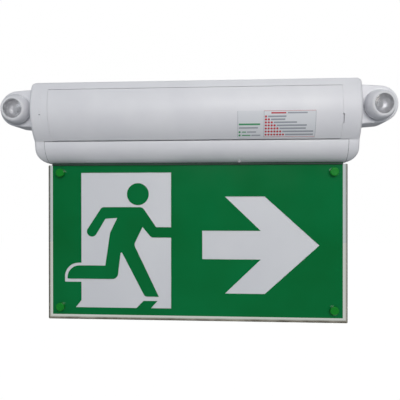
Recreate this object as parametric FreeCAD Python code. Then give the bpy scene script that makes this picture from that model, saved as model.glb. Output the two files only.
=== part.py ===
import FreeCAD, Part
import math
import os
from FreeCAD import Vector

# Wall-mounted emergency exit light: a barrel-shaped housing with a hinged front cover, a light bar
# with a hanging edge-lit sign, and a ball-shaped spot lamp on each end.
# Millimetres. X runs to the viewer's right, Z up. The wall is the plane Y = 0 and the front faces -Y.
# Z = 0 is the axis of the barrel, X = 0 the middle of the housing.

# Housing
HOUSING_W = 322.0
HOUSING_DEPTH = 57.5
TOP_Z = 25.5
SEAM_Z = -32.8
BARREL_R = 46.0
BAR_R = 21.0
WALL = 2.5
TOP_CORNER_R = 5.0
LOWER_CORNER_R = 12.5
EDGE_R = 3.0
END_W = 18.5
CHEEK_W = 10.5
FLOOR_T = 2.2
TOP_SEAM_Z = 17.8
SEAM_GAP = 0.4
COVER_FOOT_GAP = 1.0
BAR_SEAM_GAP = 0.7
LIP_W = 3.0
LIP_T = 1.8
LIP_DROP = 3.5
FACE_GAP = 0.4

# Cover hinge
PIN_R = 1.5
PIN_FROM_END = 11.0
PIN_DEPTH = 7.5
PIN_RUN = 0.06
LUG_R = 3.2
ARM_Z = 5.0
ARM_H = 4.0
LUG_GAP = 0.4
LUG_H = 3.0
NECK_REACH = 11.4
NECK_T = 2.2
BEVEL = 1.8
HINGE_MARK_W = 0.8
HINGE_MARK_DEPTH = 0.4
HINGE_MARK_LOW = -16.0
HINGE_MARK_HIGH = 15.0

# Release slot and snap finger of the cover
SLOT_W = 1.5
SLOT_LOW = -18.4
SLOT_HIGH = -9.7
FINGER_T = 1.7
FINGER_LEN = 12.0
HOOK = 1.6

# Cover ribs
RIB_T = 1.6
RIB_H = 3.0
RIB_PITCH = 70.0

# Wall fixing and cable entry
FIX_SPACING = 244.0
FIX_HOLE_R = 2.5
FIX_BOSS_R = 6.0
FIX_BOSS_H = 4.0
ENTRY_X = -32.0
ENTRY_Z = -18.0
ENTRY_R = 9.0
GROMMET_BORE_R = 3.5
GROMMET_LIP = 2.5
GROMMET_T = 2.0

# Light bar
BAR_WALL = 2.2
BAR_END_GAP = 0.3
BAR_BACK_GAP = 0.5
PANEL_SLOT_GAP = 0.8

# Sign: clear sheet between a legend in front and a white sheet behind
GUIDE_END_INSET = 8.0
GUIDE_T = 5.0
GUIDE_BEHIND_BAR = 18.75
GUIDE_SHOULDER = 1.2
GUIDE_NECK_INSET = 4.7
GUIDE_CORNER_R = 1.0
LEGEND_MARGIN = 5.0
LEGEND_FOOT_MARGIN = 5.2
LEGEND_SHAPE = 0.531
LEGEND_RISE = 1.6
LEGEND_T = 1.1
GREEN_T = 0.4
BACK_SHEET_T = 1.0

# Studs of the sign
STUD_INSET_X = 8.8
STUD_BELOW_TOP = 10.9
STUD_ABOVE_FOOT = 8.0
STUD_R = 2.0
STUD_FIT = 0.1
STUD_CAP_R = 4.4
STUD_CAP_H = 5.0
STUD_CAP_ROUND = 0.8
STUD_NUT_R = 4.0
STUD_NUT_H = 3.0

# Light rail and its strip
RAIL_T = 1.5
RAIL_INSET = 4.5
RAIL_WEB = 1.6
RAIL_FOOT_Z = -50.5
STRIP_T = 1.2
STRIP_W = 4.6
STRIP_LED = 3.0
STRIP_LED_H = 0.9
STRIP_LEDS = 18
GUIDE_TOP_GAP = 0.8
RAIL_SCREW_X = 110.0
RAIL_SCREWS = 3
RAIL_SCREW_Z = -46.0
BAR_SCREW_X = 90.0
BAR_SCREWS = 3

# Fits and screws
FIT = 0.1
SCREW_R = 1.5
SCREW_FIT = 0.1
SCREW_TIP_GAP = 0.5
SCREW_HEAD_R = 2.8
SCREW_HEAD_H = 1.8
SMALL_SCREW_R = 1.2
SMALL_HEAD_R = 2.2
SMALL_HEAD_H = 1.4

# Test button
BUTTON_X = 45.0
BUTTON_BEHIND_BAR = 13.55
BUTTON_R = 1.8
BUTTON_TIP = 1.3
BUTTON_RUN = 0.15
BUTTON_FLANGE_R = 2.6
BUTTON_FLANGE_T = 1.0
BUTTON_TRAVEL = 0.8
BUTTON_TOP_Z = -45.2
SWITCH_BOARD_Z = -40.0
SWITCH_BOARD_T = 1.2
SWITCH_BOARD_W = 18.0
SWITCH_BOARD_D = 8.4
SWITCH_SIZE = 6.0
SWITCH_GAP = 0.2

# Lamp arms
ARM_REACH = 37.9
ARM_ROOT_H = 19.5
ARM_TIP_R = 18.0
ARM_RISE = 2.1
ARM_FRONT_Y = -38.0
ARM_BACK_Y = -6.0
ARM_EDGE_R = 1.5
ARM_BACK_T = 2.0
LEAD_WINDOW = 12.0
LEAD_Y = -20.0
ARM_SCREW_Y = -13.0
ARM_SCREW_Z = 11.0
ARM_BOSS_R = 3.5
ARM_BOSS_LEN = 9.0

# Lamp balls
LAMP_FROM_TIP = 19.4
LAMP_Z = 0.6
BALL_R = 14.8
BALL_WALL = 2.0
BALL_AHEAD = 6.0
BALL_FLAT = 8.7
BALL_RUN = 0.3
SEAT_T = 2.0
SWING = 20.0
REAR_CORNER = 1.25
LENS_R = 10.2
LENS_T = 1.6
LENS_DOME = 1.2
BEZEL_R = 11.4
BEZEL_T = 1.4
BEZEL_STEP = 0.6
REFLECTOR_T = 0.8
REFLECTOR_DEPTH = 6.0
REFLECTOR_REAR_R = 3.2
COLLAR_T = 1.2
LED_BOARD_T = 1.2
LED_SIZE = 4.0
LED_H = 0.9
LAMP_STUD_R = 1.5
LAMP_HEAD_R = 3.4
LAMP_HEAD_T = 2.0
LAMP_HEAD_BACK = 5.2
SADDLE_T = 1.5
SADDLE_SIDE = 40.0
SADDLE_RISE = 30.0
SPRING_WALL = 0.8
LAMP_BOSS_R = 4.0
LAMP_BOSS_LEN = 9.0
LEFT_PAN = 0.0
RIGHT_PAN = 12.0
LAMP_TILT = -4.0

# Battery
CELL_R = 12.5
CELL_LEN = 50.0
CELLS = 3
CELL_NECK = 1.0
BATTERY_X = -105.0
BATTERY_Y = -17.6
BATTERY_Z = 8.0
CLIP_GAP = 0.3
CLIP_T = 1.2
CLIP_W = 10.0
CLIP_FOOT = 9.0
CRADLE_T = 2.0
CRADLE_DEPTH = 13.5

# Driver board
BOARD_X = 54.0
BOARD_W = 58.0
BOARD_Z = -26.0
BOARD_H = 46.0
BOARD_T = 1.6
BOARD_STAND = 6.5
BOARD_BOSS_R = 3.0
BOARD_INSET = 4.0

# Parts on the driver board
CORE_W = 26.0
CORE_H = 21.0
CORE_D = 18.0
COIL_W = 17.0
COIL_D = 22.0
RELAY_W = 19.0
RELAY_H = 14.0
RELAY_D = 15.0
CAP_R = 5.0
CAP_H = 17.0
CAP_PITCH = 11.5
CAPS = 3
FUSE_R = 2.6
FUSE_LEN = 20.0
FUSE_CAP = 5.0

# Terminal block
BLOCK_X = -112.0
BLOCK_W = 30.0
BLOCK_D = 15.0
BLOCK_Z = -29.0
BLOCK_H = 12.0
BLOCK_WAYS = 3
BLOCK_SCREW_R = 2.2
BLOCK_WIRE_R = 1.9

# Places worked out from the sizes above
HALF_W = HOUSING_W / 2
BARREL_Y = BARREL_R - HOUSING_DEPTH
BOTTOM_Z = SEAM_Z - BAR_R
BAR_FRONT_Y = BARREL_Y - math.sqrt(BARREL_R**2 - SEAM_Z**2)
BAR_Y = BAR_FRONT_Y + BAR_R
FLOOR_Z = SEAM_Z + FLOOR_T
COVER_X = HALF_W - END_W
BAR_X = HALF_W - CHEEK_W
INNER_R = BARREL_R - WALL
FLOOR_FRONT_Y = BARREL_Y - math.sqrt((INNER_R - FACE_GAP)**2 - SEAM_Z**2)
COVER_LEFT = -COVER_X + SEAM_GAP / 2
COVER_RIGHT = COVER_X - SEAM_GAP
COVER_FOOT_Z = SEAM_Z + COVER_FOOT_GAP
PIN_X = -HALF_W + PIN_FROM_END
PIN_Y = -HOUSING_DEPTH + PIN_DEPTH
BACK_IN = -WALL
GUIDE_W = HOUSING_W - 2 * GUIDE_END_INSET
GUIDE_NECK_W = 2 * (BAR_X - GUIDE_NECK_INSET)
GUIDE_FRONT_Y = BAR_FRONT_Y + GUIDE_BEHIND_BAR
RAIL_W = 2 * (BAR_X - RAIL_INSET)
BUTTON_Y = BAR_FRONT_Y + BUTTON_BEHIND_BAR
LEGEND_W = GUIDE_W - 2 * LEGEND_MARGIN
UNIT = LEGEND_W / 296
LEGEND_Y = GUIDE_FRONT_Y - LEGEND_T - GREEN_T
GUIDE_BACK_Y = GUIDE_FRONT_Y + GUIDE_T
SHEET_BACK_Y = GUIDE_BACK_Y + BACK_SHEET_T
RAIL_TOP_Z = SEAM_Z - BAR_WALL
STRIP_Z = RAIL_TOP_Z - RAIL_WEB
GUIDE_TOP_Z = STRIP_Z - STRIP_T - STRIP_LED_H - GUIDE_TOP_GAP
GUIDE_MID_Y = GUIDE_FRONT_Y + GUIDE_T / 2
LEGEND_TOP_Z = BOTTOM_Z + LEGEND_RISE
LEGEND_BOTTOM_Z = LEGEND_TOP_Z - LEGEND_W * LEGEND_SHAPE
GUIDE_BOTTOM_Z = LEGEND_BOTTOM_Z - LEGEND_FOOT_MARGIN
STUD_TOP_Z = LEGEND_TOP_Z - STUD_BELOW_TOP
STUD_LOW_Z = LEGEND_BOTTOM_Z + STUD_ABOVE_FOOT
STUD_X = LEGEND_W / 2 - STUD_INSET_X
ARM_TIP_X = HALF_W + ARM_REACH
LAMP_X = ARM_TIP_X - LAMP_FROM_TIP
LAMP_Y = ARM_FRONT_Y - BALL_AHEAD
BALL_IN = BALL_R - BALL_WALL
SEAT_R = BALL_R + BALL_RUN
BOARD_Y = BACK_IN - BOARD_STAND
BOARD_FACE_Y = BOARD_Y - BOARD_T
BATTERY_LEN = CELL_LEN * CELLS
AXES = {"X": Vector(1, 0, 0), "Y": Vector(0, 1, 0), "Z": Vector(0, 0, 1)}


def box(x0, x1, y0, y1, z0, z1):
    return Part.makeBox(x1 - x0, y1 - y0, z1 - z0, Vector(x0, y0, z0))


def rod(radius, start, length, axis):
    return Part.makeCylinder(radius, length, Vector(*start), AXES[axis])


def fuse(solids):
    return solids[0].fuse(solids[1:]).removeSplitter() if len(solids) > 1 else solids[0]


def polygon_plate(points, plane_y, thickness):
    """A plate with a straight-sided outline of (x, z) points, from plane_y back by its thickness."""
    corners = [Vector(x, plane_y, z) for x, z in points]
    face = Part.Face(Part.makePolygon(corners + corners[:1]))
    return face.extrude(Vector(0, thickness, 0))


def polar(cy, cz, radius, degrees):
    angle = math.radians(degrees)
    return Vector(0, cy + radius * math.cos(angle), cz + radius * math.sin(angle))


def arc_yz(cy, cz, radius, start, end):
    """An arc across X, from one angle to the other, with its two ends."""
    first, middle, last = (polar(cy, cz, radius, a) for a in (start, (start + end) / 2, end))
    return Part.Arc(first, middle, last).toShape(), first, last


def housing_section(inset):
    """The housing across X: flat back and top, barrel front, quarter-round light bar below."""
    radius = BARREL_R - inset
    top = TOP_Z - inset
    at_top = 180 - math.degrees(math.asin(top / radius))
    at_seam = 180 - math.degrees(math.asin(SEAM_Z / radius))
    barrel, barrel_top, barrel_foot = arc_yz(BARREL_Y, 0, radius, at_top, at_seam)
    quarter, quarter_top, quarter_foot = arc_yz(BAR_Y, SEAM_Z, BAR_R - inset, 180, 270)
    low_back = Vector(0, -inset, quarter_foot.z)
    high_back = Vector(0, -inset, top)
    edges = [Part.makeLine(quarter_foot, low_back), Part.makeLine(low_back, high_back)]
    edges += [Part.makeLine(high_back, barrel_top), barrel]
    if (barrel_foot - quarter_top).Length > 1e-6:
        edges.append(Part.makeLine(barrel_foot, quarter_top))
    edges.append(quarter)
    return Part.Face(Part.Wire(edges))


def housing_front_view(inset):
    """The housing across Y: a rectangle with small upper and large lower corners."""
    side = HALF_W - inset
    corners = [(-1, 1, TOP_Z - inset, TOP_CORNER_R - inset), (1, 1, TOP_Z - inset, TOP_CORNER_R - inset)]
    corners += [(1, -1, BOTTOM_Z + inset, LOWER_CORNER_R - inset), (-1, -1, BOTTOM_Z + inset, LOWER_CORNER_R - inset)]
    arcs = []
    for across, up, z, radius in corners:
        centre = Vector(across * (side - radius), 0, z - up * radius)
        diagonal = Vector(across, 0, up) * (radius * math.sqrt(0.5))
        flat = centre + Vector(0, 0, up * radius)
        upright = centre + Vector(across * radius, 0, 0)
        ends = (upright, flat) if across * up < 0 else (flat, upright)
        arcs.append((ends[0], centre + diagonal, ends[1]))
    edges = []
    for index, (first, middle, last) in enumerate(arcs):
        edges.append(Part.Arc(first, middle, last).toShape())
        edges.append(Part.makeLine(last, arcs[(index + 1) % len(arcs)][0]))
    return Part.Face(Part.Wire(edges))


def housing_block(inset):
    """The outer form of the housing, or the same form moved in by a wall."""
    section = housing_section(inset)
    section.translate(Vector(-HALF_W + inset, 0, 0))
    along = section.extrude(Vector(HOUSING_W - 2 * inset, 0, 0))
    view = housing_front_view(inset)
    view.translate(Vector(0, 1, 0))
    through = view.extrude(Vector(0, -HOUSING_DEPTH - 2, 0))
    return along.common(through).removeSplitter()


def housing_skin():
    """The hollow housing with its front edges rounded."""
    outer = housing_block(0)
    front_edges = [e for e in outer.Edges if e.BoundBox.YMax < BAR_Y + BAR_R / 2 and e.BoundBox.YMin < -WALL]
    side_edges = [e for e in outer.Edges if e.BoundBox.YMax > -0.01 and e.BoundBox.YMin < -WALL]
    return outer.makeFillet(EDGE_R, front_edges + side_edges).cut(housing_block(WALL))


def barrel_ring(outer, inner, x0, x1):
    ring = rod(outer, (x0, BARREL_Y, 0), x1 - x0, "X")
    return ring.cut(rod(inner, (x0, BARREL_Y, 0), x1 - x0, "X"))


def base_openings():
    """Room for the cover and the light bar, the release slot, screw holes and cable entry."""
    cuts = [box(-COVER_X, COVER_X, -HOUSING_DEPTH - 1, BAR_FRONT_Y + WALL + 4, SEAM_Z, TOP_SEAM_Z)]
    cuts.append(box(-BAR_X, BAR_X, -HOUSING_DEPTH - 1, BACK_IN, BOTTOM_Z - 1, SEAM_Z))
    cuts.append(box(COVER_X - 1, COVER_X + SLOT_W, -HOUSING_DEPTH - 1, -HOUSING_DEPTH + 9, SLOT_LOW, SLOT_HIGH))
    mark_x = PIN_X - HINGE_MARK_W / 2
    mark = barrel_ring(BARREL_R + 1, BARREL_R - HINGE_MARK_DEPTH, mark_x, mark_x + HINGE_MARK_W)
    cuts.append(mark.common(box(-HALF_W, 0, -HOUSING_DEPTH - 2, BARREL_Y, HINGE_MARK_LOW, HINGE_MARK_HIGH)))
    return cuts


def base_partitions():
    """Floor above the light bar, walls of the cheeks and the rib beside the release slot."""
    block = housing_block(WALL / 2)
    walls = [box(-BAR_X - FLOOR_T, BAR_X + FLOOR_T, FLOOR_FRONT_Y, BACK_IN + 1, SEAM_Z, FLOOR_Z)]
    for side in (-1, 1):
        inner, outer = sorted((side * COVER_X, side * (BAR_X + FLOOR_T)))
        walls.append(box(inner, outer, -HOUSING_DEPTH, BACK_IN, SEAM_Z, FLOOR_Z))
        inner, outer = sorted((side * BAR_X, side * (BAR_X + FLOOR_T)))
        walls.append(box(inner, outer, -HOUSING_DEPTH, BACK_IN, BOTTOM_Z, FLOOR_Z))
    rib_x = COVER_X + SLOT_W
    walls.append(box(rib_x, rib_x + FLOOR_T, -HOUSING_DEPTH, BAR_Y, SEAM_Z, TOP_Z))
    return [wall.common(block) for wall in walls]


def base_lips():
    """Ledges that the closed cover rests over, along its top and its right end."""
    reach = COVER_X - LIP_W
    top = barrel_ring(INNER_R, INNER_R - FACE_GAP - LIP_T, -reach, reach)
    top = top.common(box(-reach, reach, -HOUSING_DEPTH, BARREL_Y, TOP_SEAM_Z, TOP_Z - WALL / 2))
    low = barrel_ring(INNER_R - FACE_GAP, INNER_R - FACE_GAP - LIP_T, -reach, reach)
    low = low.common(box(-reach, reach, -HOUSING_DEPTH, BARREL_Y, TOP_SEAM_Z - LIP_DROP, TOP_SEAM_Z))
    far = COVER_X + SLOT_W + FLOOR_T
    side = barrel_ring(INNER_R - FACE_GAP, INNER_R - FACE_GAP - LIP_T, reach, far)
    side = side.cut(box(reach - 1, COVER_X + SLOT_W, -HOUSING_DEPTH, BARREL_Y, SLOT_LOW, SLOT_HIGH))
    side = side.common(box(reach, far, -HOUSING_DEPTH, BARREL_Y, FLOOR_Z, TOP_Z - WALL))
    return [top, low, side]


def hinge_lugs():
    """Three fixed lugs that hold the hinge pin, joined to the end wall and the skin."""
    outer_z = ARM_Z + ARM_H + LUG_GAP
    heights = [(-ARM_Z + LUG_GAP, ARM_Z - LUG_GAP), (outer_z, outer_z + LUG_H), (-outer_z - LUG_H, -outer_z)]
    lugs = []
    for low, high in heights:
        web = box(-HALF_W + WALL / 2, PIN_X, -HOUSING_DEPTH, PIN_Y + LUG_R, low, high)
        lug = web.fuse(rod(LUG_R, (PIN_X, PIN_Y, low), high - low, "Z"))
        lugs.append(lug.common(housing_block(WALL / 2)))
    return lugs


def base_bosses():
    """Bosses of the wall screws and the driver board, and cradle ribs of the battery."""
    solids = []
    for side in (-1, 1):
        solids.append(rod(FIX_BOSS_R, (side * FIX_SPACING / 2, BACK_IN - FIX_BOSS_H, 0), FIX_BOSS_H + 1, "Y"))
    for x, z in board_corners():
        solids.append(rod(BOARD_BOSS_R, (x, BOARD_Y, z), BOARD_STAND + 1, "Y"))
    cell = rod(CELL_R + CLIP_GAP, (BATTERY_X - 1, BATTERY_Y, BATTERY_Z), BATTERY_LEN + 2, "X")
    for index in range(CELLS):
        x = BATTERY_X + (index + 0.5) * CELL_LEN - CRADLE_T / 2
        rib = box(x, x + CRADLE_T, BACK_IN - CRADLE_DEPTH, BACK_IN + 1, BATTERY_Z - CELL_R - 2, TOP_Z - WALL + 1)
        solids.append(rib.cut(cell))
    return solids


def base_holes():
    """Holes through the back wall and the end walls."""
    holes = [rod(ENTRY_R, (ENTRY_X, BACK_IN - 1, ENTRY_Z), WALL + 2, "Y")]
    for side in (-1, 1):
        depth = FIX_BOSS_H + WALL + 2
        holes.append(rod(FIX_HOLE_R, (side * FIX_SPACING / 2, BACK_IN - FIX_BOSS_H - 1, 0), depth, "Y"))
        wall_x = min(side * (HALF_W - 2 * WALL), side * (HALF_W + 1))
        holes.append(lead_window(wall_x))
        for z in (-ARM_SCREW_Z, ARM_SCREW_Z):
            holes.append(rod(SCREW_R, (wall_x, ARM_SCREW_Y, z), 2 * WALL + 1, "X"))
    for x in bar_screw_places():
        holes.append(rod(SCREW_R, (x, GUIDE_MID_Y, SEAM_Z - 1), FLOOR_T + 2, "Z"))
    for x, z in board_corners():
        holes.append(rod(SMALL_SCREW_R, (x, BOARD_Y - 1, z), BOARD_STAND + 1, "Y"))
    for x in clip_places():
        holes.append(rod(SMALL_SCREW_R, (x, BACK_IN - 1, clip_screw_z()), WALL + 1 - SCREW_TIP_GAP, "Y"))
    bore_low = -ARM_Z - ARM_H - LUG_GAP - LUG_H
    holes.append(rod(PIN_R, (PIN_X, PIN_Y, bore_low - 1), 2 - 2 * bore_low, "Z"))
    return holes


def lead_window(start_x):
    """Square way through an end wall for the leads of a lamp."""
    half = LEAD_WINDOW / 2
    return box(start_x, start_x + 2 * WALL + 1, LEAD_Y - half, LEAD_Y + half, -half, half)


def base_tray():
    tray = housing_skin().cut(base_openings())
    tray = tray.fuse(base_partitions() + base_lips() + hinge_lugs() + base_bosses())
    seam = box(-BAR_X, BAR_X, -HOUSING_DEPTH, BAR_FRONT_Y + WALL, SEAM_Z, SEAM_Z + BAR_SEAM_GAP)
    return tray.cut(base_holes() + [seam]).removeSplitter()


def board_corners():
    xs = (BOARD_X + BOARD_INSET, BOARD_X + BOARD_W - BOARD_INSET)
    zs = (BOARD_Z + BOARD_INSET, BOARD_Z + BOARD_H - BOARD_INSET)
    return [(x, z) for x in xs for z in zs]


def spread(half, count):
    """Evenly spaced places from -half to half."""
    return [-half + 2 * half * index / (count - 1) for index in range(count)]


def bar_screw_places():
    return spread(BAR_SCREW_X, BAR_SCREWS)


def gooseneck(z):
    """One hinge arm: from its eye on the pin, back, across and forward to the inside of the cover."""
    eye = rod(LUG_R, (PIN_X, PIN_Y, z), ARM_H, "Z")
    half = NECK_T / 2
    far = NECK_REACH + NECK_T
    stem = box(PIN_X - half, PIN_X + half, PIN_Y, PIN_Y + far, z, z + ARM_H)
    across = box(PIN_X - half, PIN_X + far, PIN_Y + NECK_REACH, PIN_Y + far, z, z + ARM_H)
    leg = box(PIN_X + NECK_REACH, PIN_X + far, -HOUSING_DEPTH, PIN_Y + far, z, z + ARM_H)
    leg = leg.common(rod(INNER_R + WALL / 2, (PIN_X, BARREL_Y, 0), 2 * far, "X"))
    arm = fuse([eye, stem, across, leg])
    return arm.cut(rod(PIN_R + PIN_RUN, (PIN_X, PIN_Y, z - 1), ARM_H + 2, "Z"))


def snap_finger():
    """A springy tongue beside the release slot, with a hook at its tip."""
    right = COVER_X - LIP_W - FACE_GAP - HOOK
    front = BARREL_Y - INNER_R
    low, high = SLOT_LOW + 1, SLOT_HIGH - 1
    tongue = box(right - FINGER_T, right, front - WALL, front + FINGER_LEN, low, high)
    tongue = tongue.common(rod(INNER_R + WALL / 2, (0, BARREL_Y, 0), HALF_W, "X"))
    tip = front + FINGER_LEN
    hook = [(right, tip), (right + HOOK, tip - HOOK), (right, tip - 2 * HOOK)]
    corners = [Vector(x, y, low) for x, y in hook]
    wedge = Part.Face(Part.makePolygon(corners + corners[:1])).extrude(Vector(0, 0, high - low))
    return [tongue, wedge]


def cover_ribs():
    ribs = []
    for x in (-RIB_PITCH, 0, RIB_PITCH):
        ring = barrel_ring(INNER_R + WALL / 2, INNER_R - RIB_H, x - RIB_T / 2, x + RIB_T / 2)
        low, high = COVER_FOOT_Z + RIB_H, TOP_SEAM_Z - LIP_DROP - RIB_H
        ribs.append(ring.common(box(-HALF_W, HALF_W, -HOUSING_DEPTH, BARREL_Y, low, high)))
    return ribs


def cover_left_bevel():
    """The cover's left edge slopes inward, so that it clears the fixed skin as it swings."""
    corners = [(-BEVEL, BARREL_R + WALL), (2 * BEVEL, INNER_R - WALL), (-2 * BEVEL, INNER_R - WALL)]
    points = [Vector(COVER_LEFT + x, BARREL_Y - radius, 0) for x, radius in corners]
    face = Part.Face(Part.makePolygon(points + points[:1]))
    return face.revolve(Vector(0, BARREL_Y, 0), AXES["X"], 360)


def front_cover():
    skin = barrel_ring(BARREL_R, INNER_R, COVER_LEFT, COVER_RIGHT)
    span = box(COVER_LEFT, COVER_RIGHT, -HOUSING_DEPTH, BARREL_Y, COVER_FOOT_Z, TOP_SEAM_Z - SEAM_GAP)
    skin = skin.common(span).cut(cover_left_bevel())
    arms = [gooseneck(ARM_Z), gooseneck(-ARM_Z - ARM_H)]
    return fuse([skin] + arms + snap_finger() + cover_ribs())


def hinge_pin():
    length = 2 * (ARM_Z + ARM_H + LUG_GAP + LUG_H)
    return rod(PIN_R, (PIN_X, PIN_Y, -length / 2), length, "Z")


def bar_section(inset, back):
    """The light bar across X: top wall, quarter-round front and flat underside, up to its back."""
    radius = BAR_R - inset
    start = 180 + math.degrees(math.asin(inset / radius))
    quarter, top, foot = arc_yz(BAR_Y, SEAM_Z, radius, start, 270)
    corners = [foot, Vector(0, back, foot.z), Vector(0, back, top.z), top]
    edges = [Part.makeLine(a, b) for a, b in zip(corners, corners[1:])]
    return Part.Face(Part.Wire(edges + [quarter]))


def bar_underside(y, inset=0):
    """Height of the bar's curved underside, or of its inside, at a depth y."""
    return SEAM_Z - math.sqrt((BAR_R - inset)**2 - (y - BAR_Y)**2)


def light_bar():
    """The quarter-round lower housing, open at the back, with the slot that the sign hangs through."""
    half = BAR_X - BAR_END_GAP
    back = BACK_IN - BAR_BACK_GAP
    outer = bar_section(0, back)
    outer.translate(Vector(-half, 0, 0))
    inner = bar_section(BAR_WALL, back + 1)
    inner.translate(Vector(-half + BAR_WALL, 0, 0))
    bar = outer.extrude(Vector(2 * half, 0, 0)).cut(inner.extrude(Vector(2 * (half - BAR_WALL), 0, 0)))
    post_top = RAIL_TOP_Z + BAR_WALL / 2
    board_top = SWITCH_BOARD_Z + SWITCH_BOARD_T
    posts = [rod(BUTTON_R, (x, switch_board_y(), board_top), post_top - board_top, "Z") for x in switch_post_places()]
    slot_half = LEGEND_W / 2 + PANEL_SLOT_GAP
    cuts = [box(-slot_half, slot_half, LEGEND_Y - PANEL_SLOT_GAP, SHEET_BACK_Y + PANEL_SLOT_GAP, BOTTOM_Z - 1,
                BOTTOM_Z + BAR_WALL + 1)]
    cuts.append(rod(BUTTON_R + BUTTON_RUN, (BUTTON_X, BUTTON_Y, BOTTOM_Z - 1), BAR_WALL + 5, "Z"))
    for x in bar_screw_places():
        cuts.append(rod(SCREW_R + SCREW_FIT, (x, GUIDE_MID_Y, RAIL_TOP_Z - 1), BAR_WALL + 2, "Z"))
    return bar.fuse(posts).cut(cuts).removeSplitter()


def switch_board_y():
    """Middle of the small board, just in front of the light rail."""
    return GUIDE_FRONT_Y - RAIL_T - SWITCH_GAP - SWITCH_BOARD_D / 2


def switch_post_places():
    reach = (SWITCH_BOARD_W - SWITCH_SIZE) / 2
    return [BUTTON_X - reach, BUTTON_X + reach]


def stud_places():
    return [(x, z) for x in (-STUD_X, STUD_X) for z in (STUD_TOP_Z, STUD_LOW_Z)]


def stud_holes():
    depth = SHEET_BACK_Y - LEGEND_Y + 2
    return [rod(STUD_R + STUD_FIT, (x, LEGEND_Y - 1, z), depth, "Y") for x, z in stud_places()]


def rail_screw_places():
    return spread(RAIL_SCREW_X, RAIL_SCREWS)


def rail_screw_holes():
    depth = GUIDE_T + 2 * RAIL_T + 2
    start = GUIDE_FRONT_Y - RAIL_T - 1
    return [rod(SCREW_R + SCREW_FIT, (x, start, RAIL_SCREW_Z), depth, "Y") for x in rail_screw_places()]


def light_guide():
    """Clear sheet: a narrow neck inside the light bar and a wide sheet below it."""
    neck, half = GUIDE_NECK_W / 2, GUIDE_W / 2
    shoulder = BOTTOM_Z - GUIDE_SHOULDER
    right = [(neck, GUIDE_TOP_Z), (neck, shoulder), (half, shoulder), (half, GUIDE_BOTTOM_Z)]
    left = [(-x, z) for x, z in reversed(right)]
    sheet = polygon_plate(right + left, GUIDE_FRONT_Y, GUIDE_T)
    corners = [e for e in sheet.Edges if abs(e.BoundBox.YLength - GUIDE_T) < 0.01 and abs(e.BoundBox.XMin) > half - 1]
    return sheet.makeFillet(GUIDE_CORNER_R, corners).cut(stud_holes() + rail_screw_holes())


def legend_sheet(front_y, thickness):
    half = LEGEND_W / 2
    sheet = box(-half, half, front_y, front_y + thickness, LEGEND_BOTTOM_Z, LEGEND_TOP_Z)
    return sheet.cut(stud_holes())


def on_legend(across, up):
    """A place on the legend, in units from its lower left corner. The legend is 296 units wide."""
    return Vector(-LEGEND_W / 2 + across * UNIT, LEGEND_Y, LEGEND_BOTTOM_Z + up * UNIT)


def rounded_outline(corners):
    """A plate with a closed outline on the legend. Each corner is (across, up) or (across, up, radius)."""
    points = [on_legend(*c[:2]) for c in corners]
    radii = [c[2] * UNIT if len(c) > 2 else 0 for c in corners]
    edges = []
    ends = []
    for index, point in enumerate(points):
        before = (points[index - 1] - point).normalize()
        after = (points[(index + 1) % len(points)] - point).normalize()
        if radii[index] == 0:
            ends.append((point, point))
            continue
        half_angle = before.getAngle(after) / 2
        reach = radii[index] / math.tan(half_angle)
        centre = point + (before + after).normalize() * (radii[index] / math.sin(half_angle))
        first, last = point + before * reach, point + after * reach
        middle = centre + (point - centre).normalize() * radii[index]
        ends.append((first, last))
        edges.append(Part.Arc(first, middle, last).toShape())
    for index, (_, last) in enumerate(ends):
        following = ends[(index + 1) % len(ends)][0]
        if (following - last).Length > 1e-6:
            edges.append(Part.makeLine(last, following))
    face = Part.Face(Part.Wire(Part.__sortEdges__(edges)))
    return face.extrude(Vector(0, GREEN_T, 0))


def doorway_opening():
    """The white doorway, with the rim round the foot that steps out of it and the sill at its foot."""
    left, right, foot, top = 30.1, 123.6, 7.3, 146.3
    rim_left, rim_low, rim_high, rim_round = 12.7, 33.6, 53.4, 14.5
    sill_left, sill_high = 24.3, 14.6
    corners = [(left, top), (right, top), (right, foot), (sill_left, foot), (left, sill_high), (left, rim_low)]
    corners += [(rim_left, rim_low, 1.0), (rim_left, rim_high, rim_round), (left, rim_high)]
    return rounded_outline(corners)


def arrow_opening():
    tail, neck, tip, middle = 155.5, 214.6, 273.0, 72.5
    barb, barb_inner = 178.5, 218.6
    stem_low, stem_high = middle - 14.5, middle + 14.5
    low, high = middle - 49.2, middle + 49.2
    corners = [(tail, stem_low), (tail, stem_high), (neck, stem_high), (barb, high), (barb_inner, high)]
    corners += [(tip, middle), (barb_inner, low), (barb, low), (neck, stem_low)]
    return rounded_outline(corners)


def running_figure():
    """Green figure in the doorway: the head, and the body whose front hand meets the door's edge."""
    head = rod(11.3 * UNIT, on_legend(89.3, 124.2), GREEN_T, "Y")
    shoulders = [(94.1, 110.9, 6.0), (51.7, 110.9, 4.0)]
    rear_arm = [(33.9, 84.1, 5.1), (43.2, 78.6, 5.1), (55.5, 99.0, 1.0), (67.9, 99.8)]
    rear_leg = [(60.3, 84.4, 8.0), (55.3, 50.6), (15.5, 50.6, 12.5), (15.5, 36.8, 0.8), (68.0, 36.8, 6.0)]
    front_leg = [(71.5, 66.5, 1.0), (96.5, 19.1, 4.0), (110.9, 19.1), (85.2, 72.4, 6.0), (94.1, 90.6)]
    front_arm = [(103.1, 79.8, 4.0), (124.6, 79.8), (124.6, 90.4), (108.1, 90.4, 1.5)]
    return [head, rounded_outline(shoulders + rear_arm + rear_leg + front_leg + front_arm)]


def floor_shadow():
    """Green slanted patch on the sill, under the front foot."""
    return rounded_outline([(86.9, 6.3), (94.9, 14.7), (109.5, 14.7), (101.8, 6.3)])


def green_legend():
    """The green field of the legend, open where the sign is white."""
    field = legend_sheet(LEGEND_Y, GREEN_T)
    return field.cut([doorway_opening(), arrow_opening()]).fuse(running_figure() + [floor_shadow()])


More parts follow.
